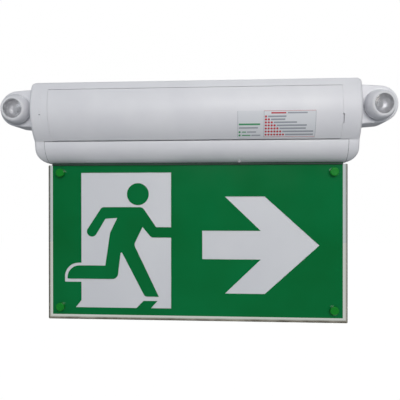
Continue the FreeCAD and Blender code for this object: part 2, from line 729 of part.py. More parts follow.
def legend_plate():
    return legend_sheet(LEGEND_Y + GREEN_T, LEGEND_T)


def reflector_sheet():
    return legend_sheet(GUIDE_BACK_Y, BACK_SHEET_T)


def panel_studs():
    studs = []
    for x, z in stud_places():
        cap = rod(STUD_CAP_R, (x, LEGEND_Y - STUD_CAP_H, z), STUD_CAP_H, "Y")
        rim = [e for e in cap.Edges if abs(e.BoundBox.YMax - LEGEND_Y + STUD_CAP_H) < 0.01]
        cap = cap.makeChamfer(STUD_CAP_ROUND, rim)
        shank = rod(STUD_R, (x, LEGEND_Y - 1, z), SHEET_BACK_Y - LEGEND_Y + 1 + STUD_NUT_H, "Y")
        studs.append(cap.fuse(shank).removeSplitter())
    return Part.makeCompound(studs)


def stud_nuts():
    nuts = []
    for x, z in stud_places():
        nut = rod(STUD_NUT_R, (x, SHEET_BACK_Y, z), STUD_NUT_H, "Y")
        nuts.append(nut.cut(rod(STUD_R, (x, SHEET_BACK_Y - 1, z), STUD_NUT_H + 2, "Y")))
    return Part.makeCompound(nuts)


def light_rail():
    """Aluminium channel: a web under the bar's top wall and two legs that grip the clear sheet."""
    half = RAIL_W / 2
    front, back = GUIDE_FRONT_Y - RAIL_T, GUIDE_BACK_Y + RAIL_T
    rail = box(-half, half, front, back, RAIL_FOOT_Z, RAIL_TOP_Z)
    rail = rail.cut(box(-half - 1, half + 1, GUIDE_FRONT_Y, GUIDE_BACK_Y, RAIL_FOOT_Z - 1, STRIP_Z))
    web_holes = [rod(SCREW_R + SCREW_FIT, (x, GUIDE_MID_Y, STRIP_Z - 1), RAIL_WEB + 2, "Z")
                 for x in bar_screw_places()]
    return rail.cut(rail_screw_holes() + web_holes)


def led_strip_board():
    half = GUIDE_NECK_W / 2 - STRIP_T
    y = GUIDE_MID_Y
    return box(-half, half, y - STRIP_W / 2, y + STRIP_W / 2, STRIP_Z - STRIP_T, STRIP_Z)


def strip_leds():
    top = STRIP_Z - STRIP_T
    half = STRIP_LED / 2
    y = GUIDE_MID_Y
    places = spread(GUIDE_NECK_W / 2 - 3 * STRIP_LED, STRIP_LEDS)
    return Part.makeCompound([box(x - half, x + half, y - half, y + half, top - STRIP_LED_H, top) for x in places])


def screw(start, length, axis, sign, radius, head_radius, head_height):
    """A screw whose head's underside is at start, and whose shank runs on by length along sign * axis."""
    run = AXES[axis] * sign
    point = Vector(*start)
    shank = Part.makeCylinder(radius, length, point, run)
    head = Part.makeCylinder(head_radius, head_height, point - run * head_height, run)
    return head.fuse(shank).removeSplitter()


def rail_screws():
    start_y = GUIDE_FRONT_Y - RAIL_T
    length = GUIDE_T + 2 * RAIL_T
    return Part.makeCompound([screw((x, start_y, RAIL_SCREW_Z), length, "Y", 1, SCREW_R, SCREW_HEAD_R, SCREW_HEAD_H)
                              for x in rail_screw_places()])


def bar_screws():
    length = FLOOR_Z - STRIP_Z - SCREW_TIP_GAP
    return Part.makeCompound([screw((x, GUIDE_MID_Y, FLOOR_Z), length, "Z", -1, SCREW_R, SCREW_HEAD_R, SCREW_HEAD_H)
                              for x in bar_screw_places()])


def board_screws():
    length = BOARD_T + BOARD_STAND - SCREW_TIP_GAP
    return Part.makeCompound([screw((x, BOARD_FACE_Y, z), length, "Y", 1, SMALL_SCREW_R, SMALL_HEAD_R, SMALL_HEAD_H)
                              for x, z in board_corners()])


def arm_screws():
    length = WALL + ARM_BOSS_LEN - SCREW_TIP_GAP
    screws = []
    for side in (-1, 1):
        for z in (-ARM_SCREW_Z, ARM_SCREW_Z):
            start = (side * (HALF_W - WALL), ARM_SCREW_Y, z)
            screws.append(screw(start, length, "X", side, SCREW_R, SCREW_HEAD_R, SCREW_HEAD_H))
    return Part.makeCompound(screws)


def test_button():
    """A pale button in the bar's underside, with a flange that keeps it from falling out."""
    tip_z = bar_underside(BUTTON_Y) - BUTTON_TIP
    stem = rod(BUTTON_R, (BUTTON_X, BUTTON_Y, tip_z), BUTTON_TOP_Z - tip_z, "Z")
    rim = [e for e in stem.Edges if e.BoundBox.ZMax < tip_z + 0.01]
    stem = stem.makeChamfer(BUTTON_R / 3, rim)
    seat = bar_underside(BUTTON_Y - BUTTON_FLANGE_R, BAR_WALL) + BALL_RUN
    return stem.fuse(rod(BUTTON_FLANGE_R, (BUTTON_X, BUTTON_Y, seat), BUTTON_FLANGE_T, "Z")).removeSplitter()


def test_switch_board():
    y = switch_board_y()
    half_w, half_d = SWITCH_BOARD_W / 2, SWITCH_BOARD_D / 2
    return box(BUTTON_X - half_w, BUTTON_X + half_w, y - half_d, y + half_d, SWITCH_BOARD_Z,
               SWITCH_BOARD_Z + SWITCH_BOARD_T)


def test_switch():
    half = SWITCH_SIZE / 2
    body = box(BUTTON_X - half, BUTTON_X + half, BUTTON_Y - half, BUTTON_Y + half, SWITCH_BOARD_Z - half,
               SWITCH_BOARD_Z)
    plunger_z = BUTTON_TOP_Z + BUTTON_TRAVEL + SWITCH_GAP
    plunger = rod(BUTTON_R - BUTTON_RUN, (BUTTON_X, BUTTON_Y, plunger_z), SWITCH_BOARD_Z - plunger_z, "Z")
    return body.fuse(plunger).removeSplitter()


def arm_outline(side, inset, front, back):
    """The arm's outline between two depths: it narrows from the housing to its round tip."""
    radius, root = ARM_TIP_R - inset, ARM_ROOT_H - inset
    reach = ARM_REACH - ARM_TIP_R
    turn = math.atan2(root, -reach) - math.acos(radius / math.hypot(reach, root))
    touch_x, touch_z = reach + radius * math.cos(turn), radius * math.sin(turn)
    near_z = root - (root - touch_z) * inset / touch_x
    corners = [(touch_x, -touch_z), (inset, -near_z), (inset, near_z), (touch_x, touch_z)]
    points = [Vector(side * (HALF_W + x), front, ARM_RISE + z) for x, z in corners]
    edges = [Part.makeLine(a, b) for a, b in zip(points, points[1:])]
    tip = Vector(side * (ARM_TIP_X - inset), front, ARM_RISE)
    edges.append(Part.Arc(points[-1], tip, points[0]).toShape())
    return Part.Face(Part.Wire(edges)).extrude(Vector(0, back - front, 0))


def lamp_arm(side):
    """A hollow arm with a dished seat for the ball and a boss for its bolt."""
    outer = arm_outline(side, 0, ARM_FRONT_Y, ARM_BACK_Y)
    rim = [e for e in outer.Edges if e.BoundBox.YMax < ARM_FRONT_Y + 0.01 and abs(e.CenterOfMass.x) > HALF_W + 1]
    arm = outer.makeFillet(ARM_EDGE_R, rim)
    arm = arm.cut(arm_outline(side, WALL, ARM_FRONT_Y + WALL, ARM_BACK_Y + 1))
    ledge_front = ARM_BACK_Y - ARM_BACK_T - 1
    ledge = arm_outline(side, WALL / 2, ledge_front, ARM_BACK_Y - ARM_BACK_T)
    ledge = ledge.cut(arm_outline(side, WALL + 1, ledge_front - 1, ARM_BACK_Y))
    centre = Vector(side * LAMP_X, LAMP_Y, LAMP_Z)
    cup_front, cup_back = ARM_FRONT_Y + WALL / 2, LAMP_Y + SEAT_R + SEAT_T
    cup = Part.makeCone(SEAT_R + SEAT_T, LAMP_BOSS_R + SEAT_T, cup_back - cup_front,
                        Vector(centre.x, cup_front, LAMP_Z), AXES["Y"])
    cup = cup.common(arm_outline(side, WALL / 2, cup_front, ARM_BACK_Y))
    boss_y = cup_back - SEAT_T / 2
    solids = [ledge, cup, rod(LAMP_BOSS_R, (centre.x, boss_y, LAMP_Z), LAMP_BOSS_LEN, "Y")]
    screw_holes = []
    for z in (-ARM_SCREW_Z, ARM_SCREW_Z):
        start = min(side * (HALF_W + WALL / 2), side * (HALF_W + ARM_BOSS_LEN))
        solids.append(rod(ARM_BOSS_R, (start, ARM_SCREW_Y, z), ARM_BOSS_LEN - WALL / 2, "X"))
        start = min(side * (HALF_W - 1), side * (HALF_W + ARM_BOSS_LEN))
        screw_holes.append(rod(SCREW_R, (start, ARM_SCREW_Y, z), ARM_BOSS_LEN + 1, "X"))
    cuts = [Part.makeSphere(SEAT_R, centre), rod(LAMP_STUD_R, (centre.x, LAMP_Y, LAMP_Z), 2 * SEAT_R, "Y")]
    start = min(side * (HALF_W - 1), side * (HALF_W + 2 * WALL))
    cuts.append(lead_window(start))
    return arm.fuse(solids).cut(cuts + screw_holes).removeSplitter()


def arm_back(side):
    """Cover plate inside the back of the arm."""
    return arm_outline(side, WALL + FIT, ARM_BACK_Y - ARM_BACK_T, ARM_BACK_Y)


def aimed(solid, side, pan, tilt):
    """Turns a lamp piece, made looking along -Y about the origin, and puts it in its seat."""
    turned = solid.copy()
    turned.rotate(Vector(0, 0, 0), AXES["X"], -tilt)
    turned.rotate(Vector(0, 0, 0), AXES["Z"], pan)
    turned.translate(Vector(side * LAMP_X, LAMP_Y, LAMP_Z))
    return turned


def ring(outer, inner, front, back):
    solid = rod(outer, (0, front, 0), back - front, "Y")
    return solid.cut(rod(inner, (0, front - 1, 0), back - front + 2, "Y"))


def lamp_ball():
    """Hollow ball, flat in front, with a bore for lens, reflector and board, and an opening behind."""
    flat = -BALL_FLAT
    hollow = Part.makeSphere(BALL_IN).common(box(-BALL_R, BALL_R, ledge_back(), BALL_R, -BALL_R, BALL_R))
    ball = Part.makeSphere(BALL_R).cut(hollow)
    reach = BALL_R * math.sin(math.radians(SWING)) + LAMP_STUD_R + FIT * 8
    rear = box(-reach, reach, BALL_IN / 2, BALL_R + 1, -reach, reach)
    rear = rear.common(rod(reach * REAR_CORNER, (0, 0, 0), BALL_R + 1, "Y"))
    cuts = [box(-BALL_R, BALL_R, -BALL_R - 1, flat, -BALL_R, BALL_R), rear]
    cuts.append(rod(LENS_R + FIT, (0, flat - 1, 0), BALL_FLAT + 1 + board_back(), "Y"))
    cuts.append(rod(LENS_R - COLLAR_T, (0, 0, 0), ledge_back() + 1, "Y"))
    cuts.append(rod(BEZEL_R + FIT, (0, flat - 1, 0), 1 + bezel_back() + BALL_FLAT, "Y"))
    return ball.cut(cuts).removeSplitter()


def bezel_back():
    return -BALL_FLAT - BEZEL_STEP + BEZEL_T


def lens_back():
    return bezel_back() + LENS_T


def reflector_back():
    return lens_back() + REFLECTOR_DEPTH


def board_back():
    return reflector_back() + LED_BOARD_T


def ledge_back():
    return board_back() + COLLAR_T


def lamp_bezel():
    front = -BALL_FLAT - BEZEL_STEP
    bezel = ring(BEZEL_R, LENS_R - BEZEL_STEP, front, bezel_back())
    rim = [e for e in bezel.Edges if e.BoundBox.YMax < front + 0.01 and e.BoundBox.XMax > LENS_R]
    return bezel.makeChamfer(BEZEL_STEP * 0.8, rim)


def lamp_lens():
    """Clear lens: a disc behind the bezel with a low dome through it."""
    back = lens_back()
    disc = rod(LENS_R, (0, bezel_back(), 0), LENS_T, "Y")
    dome_r = LENS_R - BEZEL_STEP - FIT
    sphere_r = (dome_r**2 + LENS_DOME**2) / (2 * LENS_DOME)
    dome = Part.makeSphere(sphere_r, Vector(0, bezel_back() - LENS_DOME + sphere_r, 0))
    dome = dome.common(rod(dome_r, (0, -BALL_R, 0), BALL_R + back - LENS_T / 2, "Y"))
    return disc.fuse(dome).removeSplitter()


def lamp_reflector():
    """A bowl of three cones with a flange, open at its foot round the light source."""
    front, back = lens_back(), reflector_back()
    rim, foot = LENS_R - REFLECTOR_T, REFLECTOR_REAR_R
    drop, step = back - front, REFLECTOR_T
    inner = [(rim, front), (rim - (rim - foot) * 0.25, front + drop * 0.5), (foot + (rim - foot) * 0.35, back - drop * 0.15)]
    inner.append((foot, back))
    outer = [(foot + step, back)] + [(r + step, y) for r, y in reversed(inner[1:3])]
    outer += [(rim + step / 2, front + step), (LENS_R, front + step), (LENS_R, front)]
    points = [Vector(r, y, 0) for r, y in inner + outer]
    face = Part.Face(Part.makePolygon(points + points[:1]))
    return face.revolve(Vector(0, 0, 0), AXES["Y"], 360)


def lamp_led_board():
    board = rod(LENS_R, (0, reflector_back(), 0), LED_BOARD_T, "Y")
    half = LED_SIZE / 2
    led = box(-half, half, reflector_back() - LED_H, reflector_back(), -half, half)
    return board.fuse(led).removeSplitter()


def lamp_saddle():
    """Curved friction washer inside the ball's back, slotted for the bolt as the ball pans."""
    outer_r = BALL_IN - BALL_RUN
    cup = Part.makeSphere(outer_r).cut(Part.makeSphere(outer_r - SADDLE_T))
    side = outer_r * math.sin(math.radians(SADDLE_SIDE))
    rise = outer_r * math.sin(math.radians(SADDLE_RISE))
    cup = cup.common(box(-side, side, 0, BALL_R, -rise, rise))
    slot = outer_r * math.sin(math.radians(SWING)) + LAMP_STUD_R + BALL_RUN
    height = LAMP_STUD_R + BALL_RUN
    return cup.cut(box(-slot, slot, 0, BALL_R, -height, height))


def lamp_spring():
    inner_r = LAMP_STUD_R + BALL_RUN
    saddle_in = BALL_IN - BALL_RUN - SADDLE_T
    reach = math.sqrt(saddle_in**2 - (inner_r + SPRING_WALL)**2) - FIT
    return ring(inner_r + SPRING_WALL, inner_r, LAMP_HEAD_BACK, reach)


def lamp_stud():
    shank_end = SEAT_R + LAMP_BOSS_LEN
    shank = rod(LAMP_STUD_R, (0, LAMP_HEAD_BACK - 1, 0), shank_end - LAMP_HEAD_BACK + 1, "Y")
    return shank.fuse(rod(LAMP_HEAD_R, (0, LAMP_HEAD_BACK - LAMP_HEAD_T, 0), LAMP_HEAD_T, "Y")).removeSplitter()


def cable_grommet():
    """Rubber bush in the cable entry: its neck fills the wall and its lip lies on the inside."""
    neck = rod(ENTRY_R, (ENTRY_X, BACK_IN, ENTRY_Z), WALL, "Y")
    lip = rod(ENTRY_R + GROMMET_LIP, (ENTRY_X, BACK_IN - GROMMET_T, ENTRY_Z), GROMMET_T, "Y")
    bore = rod(GROMMET_BORE_R, (ENTRY_X, BACK_IN - GROMMET_T - 1, ENTRY_Z), WALL + GROMMET_T + 2, "Y")
    return neck.fuse(lip).cut(bore).removeSplitter()


def battery_pack():
    """Cells in a row in one sleeve, drawn in a little where they meet."""
    sleeve = rod(CELL_R, (BATTERY_X, BATTERY_Y, BATTERY_Z), BATTERY_LEN, "X")
    for index in range(1, CELLS):
        x = BATTERY_X + index * CELL_LEN - CELL_NECK
        groove = rod(CELL_R + 1, (x, BATTERY_Y, BATTERY_Z), 2 * CELL_NECK, "X")
        groove = groove.cut(rod(CELL_R - CELL_NECK, (x - 1, BATTERY_Y, BATTERY_Z), 2 * CELL_NECK + 2, "X"))
        sleeve = sleeve.cut(groove)
    ends = [e for e in sleeve.Edges if e.BoundBox.XLength < 0.01 and not BATTERY_X + 1 < e.BoundBox.XMin < BATTERY_X
            + BATTERY_LEN - 1]
    return sleeve.makeChamfer(CELL_NECK, ends)


def clip_places():
    return [BATTERY_X + index * CELL_LEN for index in range(1, CELLS)]


def clip_screw_z():
    return BATTERY_Z - CELL_R - CLIP_GAP - CLIP_T - CLIP_FOOT / 2


def battery_clips():
    """Strap round the front of the battery, with its ends on the back wall and a screwed foot."""
    inner_r = CELL_R + CLIP_GAP
    outer_r = inner_r + CLIP_T
    clips = []
    for middle in clip_places():
        x0, x1 = middle - CLIP_W / 2, middle + CLIP_W / 2
        loop = rod(outer_r, (x0, BATTERY_Y, BATTERY_Z), CLIP_W, "X")
        loop = loop.fuse(box(x0, x1, BATTERY_Y, BACK_IN, BATTERY_Z - outer_r, BATTERY_Z + outer_r))
        loop = loop.cut(rod(inner_r, (x0 - 1, BATTERY_Y, BATTERY_Z), CLIP_W + 2, "X"))
        loop = loop.cut(box(x0 - 1, x1 + 1, BATTERY_Y, BACK_IN + 1, BATTERY_Z - inner_r, BATTERY_Z + inner_r))
        foot = box(x0, x1, BACK_IN - CLIP_T, BACK_IN, BATTERY_Z - outer_r - CLIP_FOOT, BATTERY_Z - inner_r)
        hole = rod(SMALL_SCREW_R, (middle, BACK_IN - CLIP_T - 1, clip_screw_z()), CLIP_T + 2, "Y")
        loop = loop.common(box(x0, x1, -HOUSING_DEPTH, BACK_IN, -HOUSING_DEPTH, HOUSING_DEPTH))
        clips.append(loop.fuse(foot).cut(hole).removeSplitter())
    return Part.makeCompound(clips)


def clip_screws():
    start_y = BACK_IN - CLIP_T
    length = CLIP_T + WALL - SCREW_TIP_GAP
    return Part.makeCompound([screw((x, start_y, clip_screw_z()), length, "Y", 1, SMALL_SCREW_R, SMALL_HEAD_R,
                                    SMALL_HEAD_H) for x in clip_places()])


def driver_board():
    board = box(BOARD_X, BOARD_X + BOARD_W, BOARD_FACE_Y, BOARD_Y, BOARD_Z, BOARD_Z + BOARD_H)
    return board.cut([rod(SMALL_SCREW_R, (x, BOARD_FACE_Y - 1, z), BOARD_T + 2, "Y") for x, z in board_corners()])


def part_left():
    """Left edge of the tall parts on the driver board, clear of its screws."""
    return BOARD_X + BOARD_INSET + SMALL_HEAD_R + 1


def transformer():
    """A core with two windows, and the coil that fills them and stands out in front."""
    x, z = part_left(), BOARD_Z + BOARD_H - CORE_H - 3
    leg = (CORE_W - COIL_W) / 2
    core = box(x, x + CORE_W, BOARD_FACE_Y - CORE_D, BOARD_FACE_Y, z, z + CORE_H)
    window = box(x + leg, x + CORE_W - leg, BOARD_FACE_Y - CORE_D - 1, BOARD_FACE_Y + 1, z + leg, z + CORE_H - leg)
    tongue = box(x + 2 * leg, x + CORE_W - 2 * leg, BOARD_FACE_Y - CORE_D, BOARD_FACE_Y, z + leg, z + CORE_H - leg)
    coil = box(x + leg, x + CORE_W - leg, BOARD_FACE_Y - COIL_D, BOARD_FACE_Y, z + leg, z + CORE_H - leg)
    core = core.cut(window).fuse(tongue).removeSplitter()
    return Part.makeCompound([core, coil.cut(tongue)])


def relay():
    x, z = part_left(), BOARD_Z + 3
    case = box(x, x + RELAY_W, BOARD_FACE_Y - RELAY_D, BOARD_FACE_Y, z, z + RELAY_H)
    upright = [e for e in case.Edges if e.BoundBox.YLength > RELAY_D - 0.1]
    return case.makeFillet(1.0, upright)


def capacitors():
    x = BOARD_X + BOARD_W - BOARD_INSET - SMALL_HEAD_R - 1 - CAP_R
    middle = BOARD_Z + BOARD_H / 2
    cans = []
    for index in range(CAPS):
        z = middle + (index - (CAPS - 1) / 2) * CAP_PITCH
        can = rod(CAP_R, (x, BOARD_FACE_Y - CAP_H, z), CAP_H, "Y")
        rim = [e for e in can.Edges if e.BoundBox.YMax < BOARD_FACE_Y - CAP_H + 0.01]
        cans.append(can.makeChamfer(CAP_R / 8, rim))
    return Part.makeCompound(cans)


def fuse_link():
    """Glass fuse between two metal caps, standing along the board's middle."""
    x = part_left() + RELAY_W + FUSE_CAP + FUSE_R / 2
    y, z = BOARD_FACE_Y - FUSE_R, BOARD_Z + 1
    glass = rod(FUSE_R * 0.85, (x, y, z + FUSE_CAP), FUSE_LEN - 2 * FUSE_CAP, "Z")
    caps = [rod(FUSE_R, (x, y, z), FUSE_CAP, "Z"), rod(FUSE_R, (x, y, z + FUSE_LEN - FUSE_CAP), FUSE_CAP, "Z")]
    return Part.makeCompound([glass] + caps)


def block_ways():
    pitch = BLOCK_W / BLOCK_WAYS
    return [BLOCK_X + (index + 0.5) * pitch for index in range(BLOCK_WAYS)]


def terminal_block():
    block = box(BLOCK_X, BLOCK_X + BLOCK_W, BACK_IN - BLOCK_D, BACK_IN, BLOCK_Z, BLOCK_Z + BLOCK_H)
    cuts = []
    for x in block_ways():
        well_y = BACK_IN - BLOCK_D
        cuts.append(rod(BLOCK_SCREW_R + FIT, (x, well_y - 1, BLOCK_Z + BLOCK_H / 2), BLOCK_D / 3 + 1, "Y"))
        wire_y = BACK_IN - BLOCK_D / 3
        cuts.append(rod(BLOCK_WIRE_R, (x, wire_y, BLOCK_Z + BLOCK_H / 2), BLOCK_H, "Z"))
    for x in block_ways()[1:]:
        gap_x = x - BLOCK_W / BLOCK_WAYS / 2
        cuts.append(box(gap_x - FIT * 5, gap_x + FIT * 5, BACK_IN - BLOCK_D - 1, BACK_IN - BLOCK_D + 3, BLOCK_Z - 1,
                        BLOCK_Z + BLOCK_H + 1))
    return block.cut(cuts)


def terminal_screws():
    depth = BLOCK_D / 3
    y = BACK_IN - BLOCK_D + 1
    return Part.makeCompound([rod(BLOCK_SCREW_R, (x, y, BLOCK_Z + BLOCK_H / 2), depth - 1, "Y")
                              for x in block_ways()])


def lamp_nodes():
    """Every piece of the two lamps, each turned and placed on its side."""
    nodes = {}
    for name, side, pan in (("left", -1, LEFT_PAN), ("right", 1, RIGHT_PAN)):
        nodes[name + "_lamp_arm"] = lamp_arm(side)
        nodes[name + "_arm_back"] = arm_back(side)
        nodes[name + "_lamp_stud"] = aimed(lamp_stud(), side, 0, 0)
        nodes[name + "_lamp_spring"] = aimed(lamp_spring(), side, 0, 0)
        nodes[name + "_lamp_saddle"] = aimed(lamp_saddle(), side, pan, 0)
        nodes[name + "_lamp_ball"] = aimed(lamp_ball(), side, pan, LAMP_TILT)
        nodes[name + "_lamp_bezel"] = aimed(lamp_bezel(), side, pan, LAMP_TILT)
        nodes[name + "_lamp_lens"] = aimed(lamp_lens(), side, pan, LAMP_TILT)
        nodes[name + "_lamp_reflector"] = aimed(lamp_reflector(), side, pan, LAMP_TILT)
        nodes[name + "_lamp_led_board"] = aimed(lamp_led_board(), side, pan, LAMP_TILT)
    return nodes


def all_nodes():
    nodes = {
        "base_tray": base_tray(),
        "front_cover": front_cover(),
        "cover_hinge_pin": hinge_pin(),
        "light_bar": light_bar(),
        "light_guide": light_guide(),
        "legend_plate": legend_plate(),
        "green_legend": green_legend(),
        "reflector_sheet": reflector_sheet(),
        "panel_studs": panel_studs(),
        "stud_nuts": stud_nuts(),
        "light_rail": light_rail(),
        "led_strip_board": led_strip_board(),
        "strip_leds": strip_leds(),
        "rail_screws": rail_screws(),
        "bar_screws": bar_screws(),
        "arm_screws": arm_screws(),
        "board_screws": board_screws(),
        "clip_screws": clip_screws(),
        "test_button": test_button(),
        "test_switch_board": test_switch_board(),
        "test_switch": test_switch(),
        "cable_grommet": cable_grommet(),
        "battery_pack": battery_pack(),
        "battery_clips": battery_clips(),
        "driver_board": driver_board(),
        "transformer": transformer(),
        "relay": relay(),
        "capacitors": capacitors(),
        "fuse_link": fuse_link(),
        "terminal_block": terminal_block(),
        "terminal_screws": terminal_screws(),
    }
    nodes.update(lamp_nodes())
    return nodes


os.makedirs("parts", exist_ok=True)
for node_name, node_shape in all_nodes().items():
    node_shape.exportStep("parts/" + node_name + ".step")
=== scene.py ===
import math
import bpy
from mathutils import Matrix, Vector


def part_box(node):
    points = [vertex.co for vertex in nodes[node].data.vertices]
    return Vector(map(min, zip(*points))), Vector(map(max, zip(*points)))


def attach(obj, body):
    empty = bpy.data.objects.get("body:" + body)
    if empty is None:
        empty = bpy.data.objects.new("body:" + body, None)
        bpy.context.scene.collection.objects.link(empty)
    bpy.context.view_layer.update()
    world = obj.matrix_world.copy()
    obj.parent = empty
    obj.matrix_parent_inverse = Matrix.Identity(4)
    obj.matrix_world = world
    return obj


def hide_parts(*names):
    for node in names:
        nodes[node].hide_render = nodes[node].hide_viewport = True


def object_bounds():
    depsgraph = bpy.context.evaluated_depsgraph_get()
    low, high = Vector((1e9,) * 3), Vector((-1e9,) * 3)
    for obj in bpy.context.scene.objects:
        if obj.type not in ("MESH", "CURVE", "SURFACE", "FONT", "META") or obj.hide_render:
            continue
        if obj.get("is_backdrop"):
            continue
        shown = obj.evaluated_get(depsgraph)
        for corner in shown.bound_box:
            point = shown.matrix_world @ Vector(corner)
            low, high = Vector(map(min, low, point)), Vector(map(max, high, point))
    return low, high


# Emergency exit light on a wall: a moulded housing with a barrel-shaped cover, a hanging clear sheet with
# a green legend, and a ball lamp on each end. Metres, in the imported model's own frame.

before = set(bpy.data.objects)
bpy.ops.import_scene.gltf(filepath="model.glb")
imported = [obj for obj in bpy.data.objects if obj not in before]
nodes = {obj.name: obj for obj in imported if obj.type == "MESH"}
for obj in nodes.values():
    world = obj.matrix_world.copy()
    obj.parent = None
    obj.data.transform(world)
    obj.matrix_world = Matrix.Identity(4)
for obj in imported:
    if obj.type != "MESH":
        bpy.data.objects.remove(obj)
cad_low, cad_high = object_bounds()
bpy.ops.object.select_all(action="DESELECT")

MM = 0.001
WHITE = (1, 1, 1, 1)

# CAD pieces that others are placed by
cover_low, cover_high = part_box("front_cover")
bar_low, bar_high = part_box("light_bar")
sheet_low, sheet_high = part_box("light_guide")
fuse_low, fuse_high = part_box("fuse_link")

# The barrel of the front cover, whose axis runs along X at Z = 0
BARREL_R = 46.0 * MM
BARREL_Y = cad_low.y + BARREL_R

# Label on the cover: its edges, and the thickness of the film and of the ink
LABEL_LEFT = 43.4 * MM
LABEL_RIGHT = 117.5 * MM
LABEL_TOP = -6.2 * MM
LABEL_LOW = -31.2 * MM
LABEL_T = 0.12 * MM
INK_T = 0.05 * MM
LINE_W = 0.3 * MM

# Chart on the label: each row has one dot more than the row above, and then a grey bar up to its own end
CHART_LEFT = 68.4 * MM
ROW_TOP = -11.7 * MM
ROW_PITCH = 2.72 * MM
ROW_ENDS = (89.6, 88.6, 99.6, 109.0, 108.3, 115.4, 115.4)
ROW_BAR_W = 1.5 * MM
CHART_FOOT = ROW_TOP - 6.7 * ROW_PITCH
DOT_R = 1.05 * MM
DOT_PITCH = 2.77 * MM
DOT_START = 0.9 * MM
BAR_START = 1.2 * MM

# Other printed bars: ink, left end, right end, middle height and width, in millimetres
PRINTED_BARS = (
    ("red", 75.4, 89.4, -8.5, 1.3), ("grey", 90.9, 109.4, -8.5, 1.3),
    ("green", 44.6, 64.9, -18.7, 1.6), ("grey", 44.6, 62.9, -21.9, 1.3),
    ("green", 47.6, 51.6, -25.6, 1.1), ("grey", 52.5, 61.1, -25.6, 1.2),
    ("green", 47.6, 55.8, -28.5, 1.1), ("grey", 56.7, 65.3, -28.5, 1.2),
)
PRINTED_DOTS = ((45.3, -25.6), (45.3, -28.5))

# The cover's right-hand edge over the seam, and the grey strips of painted shade in the gaps at the ends of the
# light bar
EDGE_W = 0.28 * MM
EDGE_T = 1.5 * MM
SEAM_SHADE_T = 0.35 * MM
MERGE = 0.001 * MM

# Dark green strip of painted shade along the light bar's foot, where it meets the legend
SHADE_STRIP_LENGTH = 296.0 * MM
SHADE_STRIP_FRONT = -28.3 * MM
SHADE_STRIP_BACK = -26.6 * MM
SHADE_STRIP_DEPTH = 1.9 * MM
SHADE_STRIP_ROUNDING = 0.4 * MM

# Scuff on the left end
SCUFF_X = -150.4 * MM
SCUFF_Z = -7.4 * MM
SCUFF_SIZE = (2.0 * MM, 0.8 * MM, INK_T)

# Raised arrow beside the release slot, a triangle by its corners' radius
ARROW_X = 138.2 * MM
ARROW_Z = -14.4 * MM
ARROW_R = 1.625 * MM
ARROW_RISE = 0.25 * MM

# Snap tab behind the release slot
TAB_X = 143.25 * MM
TAB_Z = -14.05 * MM
TAB_BELOW = 2.3 * MM
TAB_SIZE = (1.2 * MM, 8.3 * MM, 0.8 * MM)
TAB_ROUNDING = 0.2 * MM

# Screws: head radius, head height and shank radius, and the recess as shares of the head's radius and height
LARGE_SCREW = (2.8 * MM, 1.8 * MM, 1.5 * MM)
SMALL_SCREW = (2.2 * MM, 1.4 * MM, 1.2 * MM)
ARM_SCREW_LENGTH = 11.0 * MM
HEAD_ROUNDING = 0.45
SHANK_ROUNDING = 0.3
RECESS_LENGTH = 1.1
RECESS_WIDTH = 0.26
RECESS_DEPTH = 0.9
TURN_TO = {"Y": (math.pi / 2, 0, 0), "-Z": (0, 0, 0), "X": (0, -math.pi / 2, 0), "-X": (0, math.pi / 2, 0)}

# Coil springs under the heads of the lamp bolts
WIRE_R = 0.38 * MM
COIL_TURNS = 4
COIL_STEPS = 28

# Where the finish changes along a CAD piece: the fuse's caps, the coil ahead of its core, the cans' bare fronts
FUSE_CAP = 5.0 * MM
COIL_AHEAD = 4.0 * MM
CAN_FRONT = 0.7 * MM

# Camera that matches the photograph, its turns in degrees
CAMERA_PLACE = Vector((43.8, -554.3, -89.3)) * MM
CAMERA_YAW = 4.18
CAMERA_PITCH = -0.205
CAMERA_ROLL = 0.045
CAMERA_LENS = 46.84
SENSOR = 36.0

# Soft light: a far softbox and a nearer, warmer one on the right, weak fills from below, one over the back.
# Name, place and width and height in metres, power in watts, colour
LIGHTS_AIM = (0.0, -0.03, -0.08)
LIGHTS = (
    ("far_softbox", (0.04, -1.9, 0.36), 1.0, 0.36, 7.4, "#F4F9FF"),
    ("near_softbox", (0.25, -0.95, 0.25), 0.6, 0.3, 3.2, "#FFF8F2"),
    ("low_fill", (0.15, -1.5, -0.95), 1.4, 0.4, 2.1, "#F0F5FF"),
    ("under_fill", (0.1, 0.35, -1.2), 1.4, 0.5, 1.3, "#F0F5FF"),
    ("back_top", (0.3, 1.6, 1.1), 1.4, 1.0, 12.0, "#FFFFFF"),
)

# White surroundings: their light on the object, and how bright they look in mirrors and through clear parts
AMBIENT = 0.42
AMBIENT_TINT = "#F2F9FF"
MIRRORED = 0.12
THROUGH = 0.6

# Pale floor below the object: its paint, its glow to the camera, and the share of it that glows
FLOOR_SIZE = 30
FLOOR_BELOW = 1.2
FLOOR_PAINT = "#909090"
FLOOR_GLOW = 1.07
FLOOR_SHARE = 0.93


def linear(hex_colour):
    """An sRGB hex colour as the linear values that a shader socket takes."""
    channels = [int(hex_colour[i:i + 2], 16) / 255 for i in (1, 3, 5)]
    return [c / 12.92 if c <= 0.04045 else ((c + 0.055) / 1.055) ** 2.4 for c in channels] + [1.0]


def add_node(tree, kind, settings=(), inputs=(), links=()):
    """Adds a node, with its settings, its socket values and the links into it."""
    node = tree.nodes.new(kind)
    for name, value in dict(settings).items():
        setattr(node, name, value)
    for socket, value in dict(inputs).items():
        node.inputs[socket].default_value = value
    for socket, source in dict(links).items():
        tree.links.new(source, node.inputs[socket])
    return node


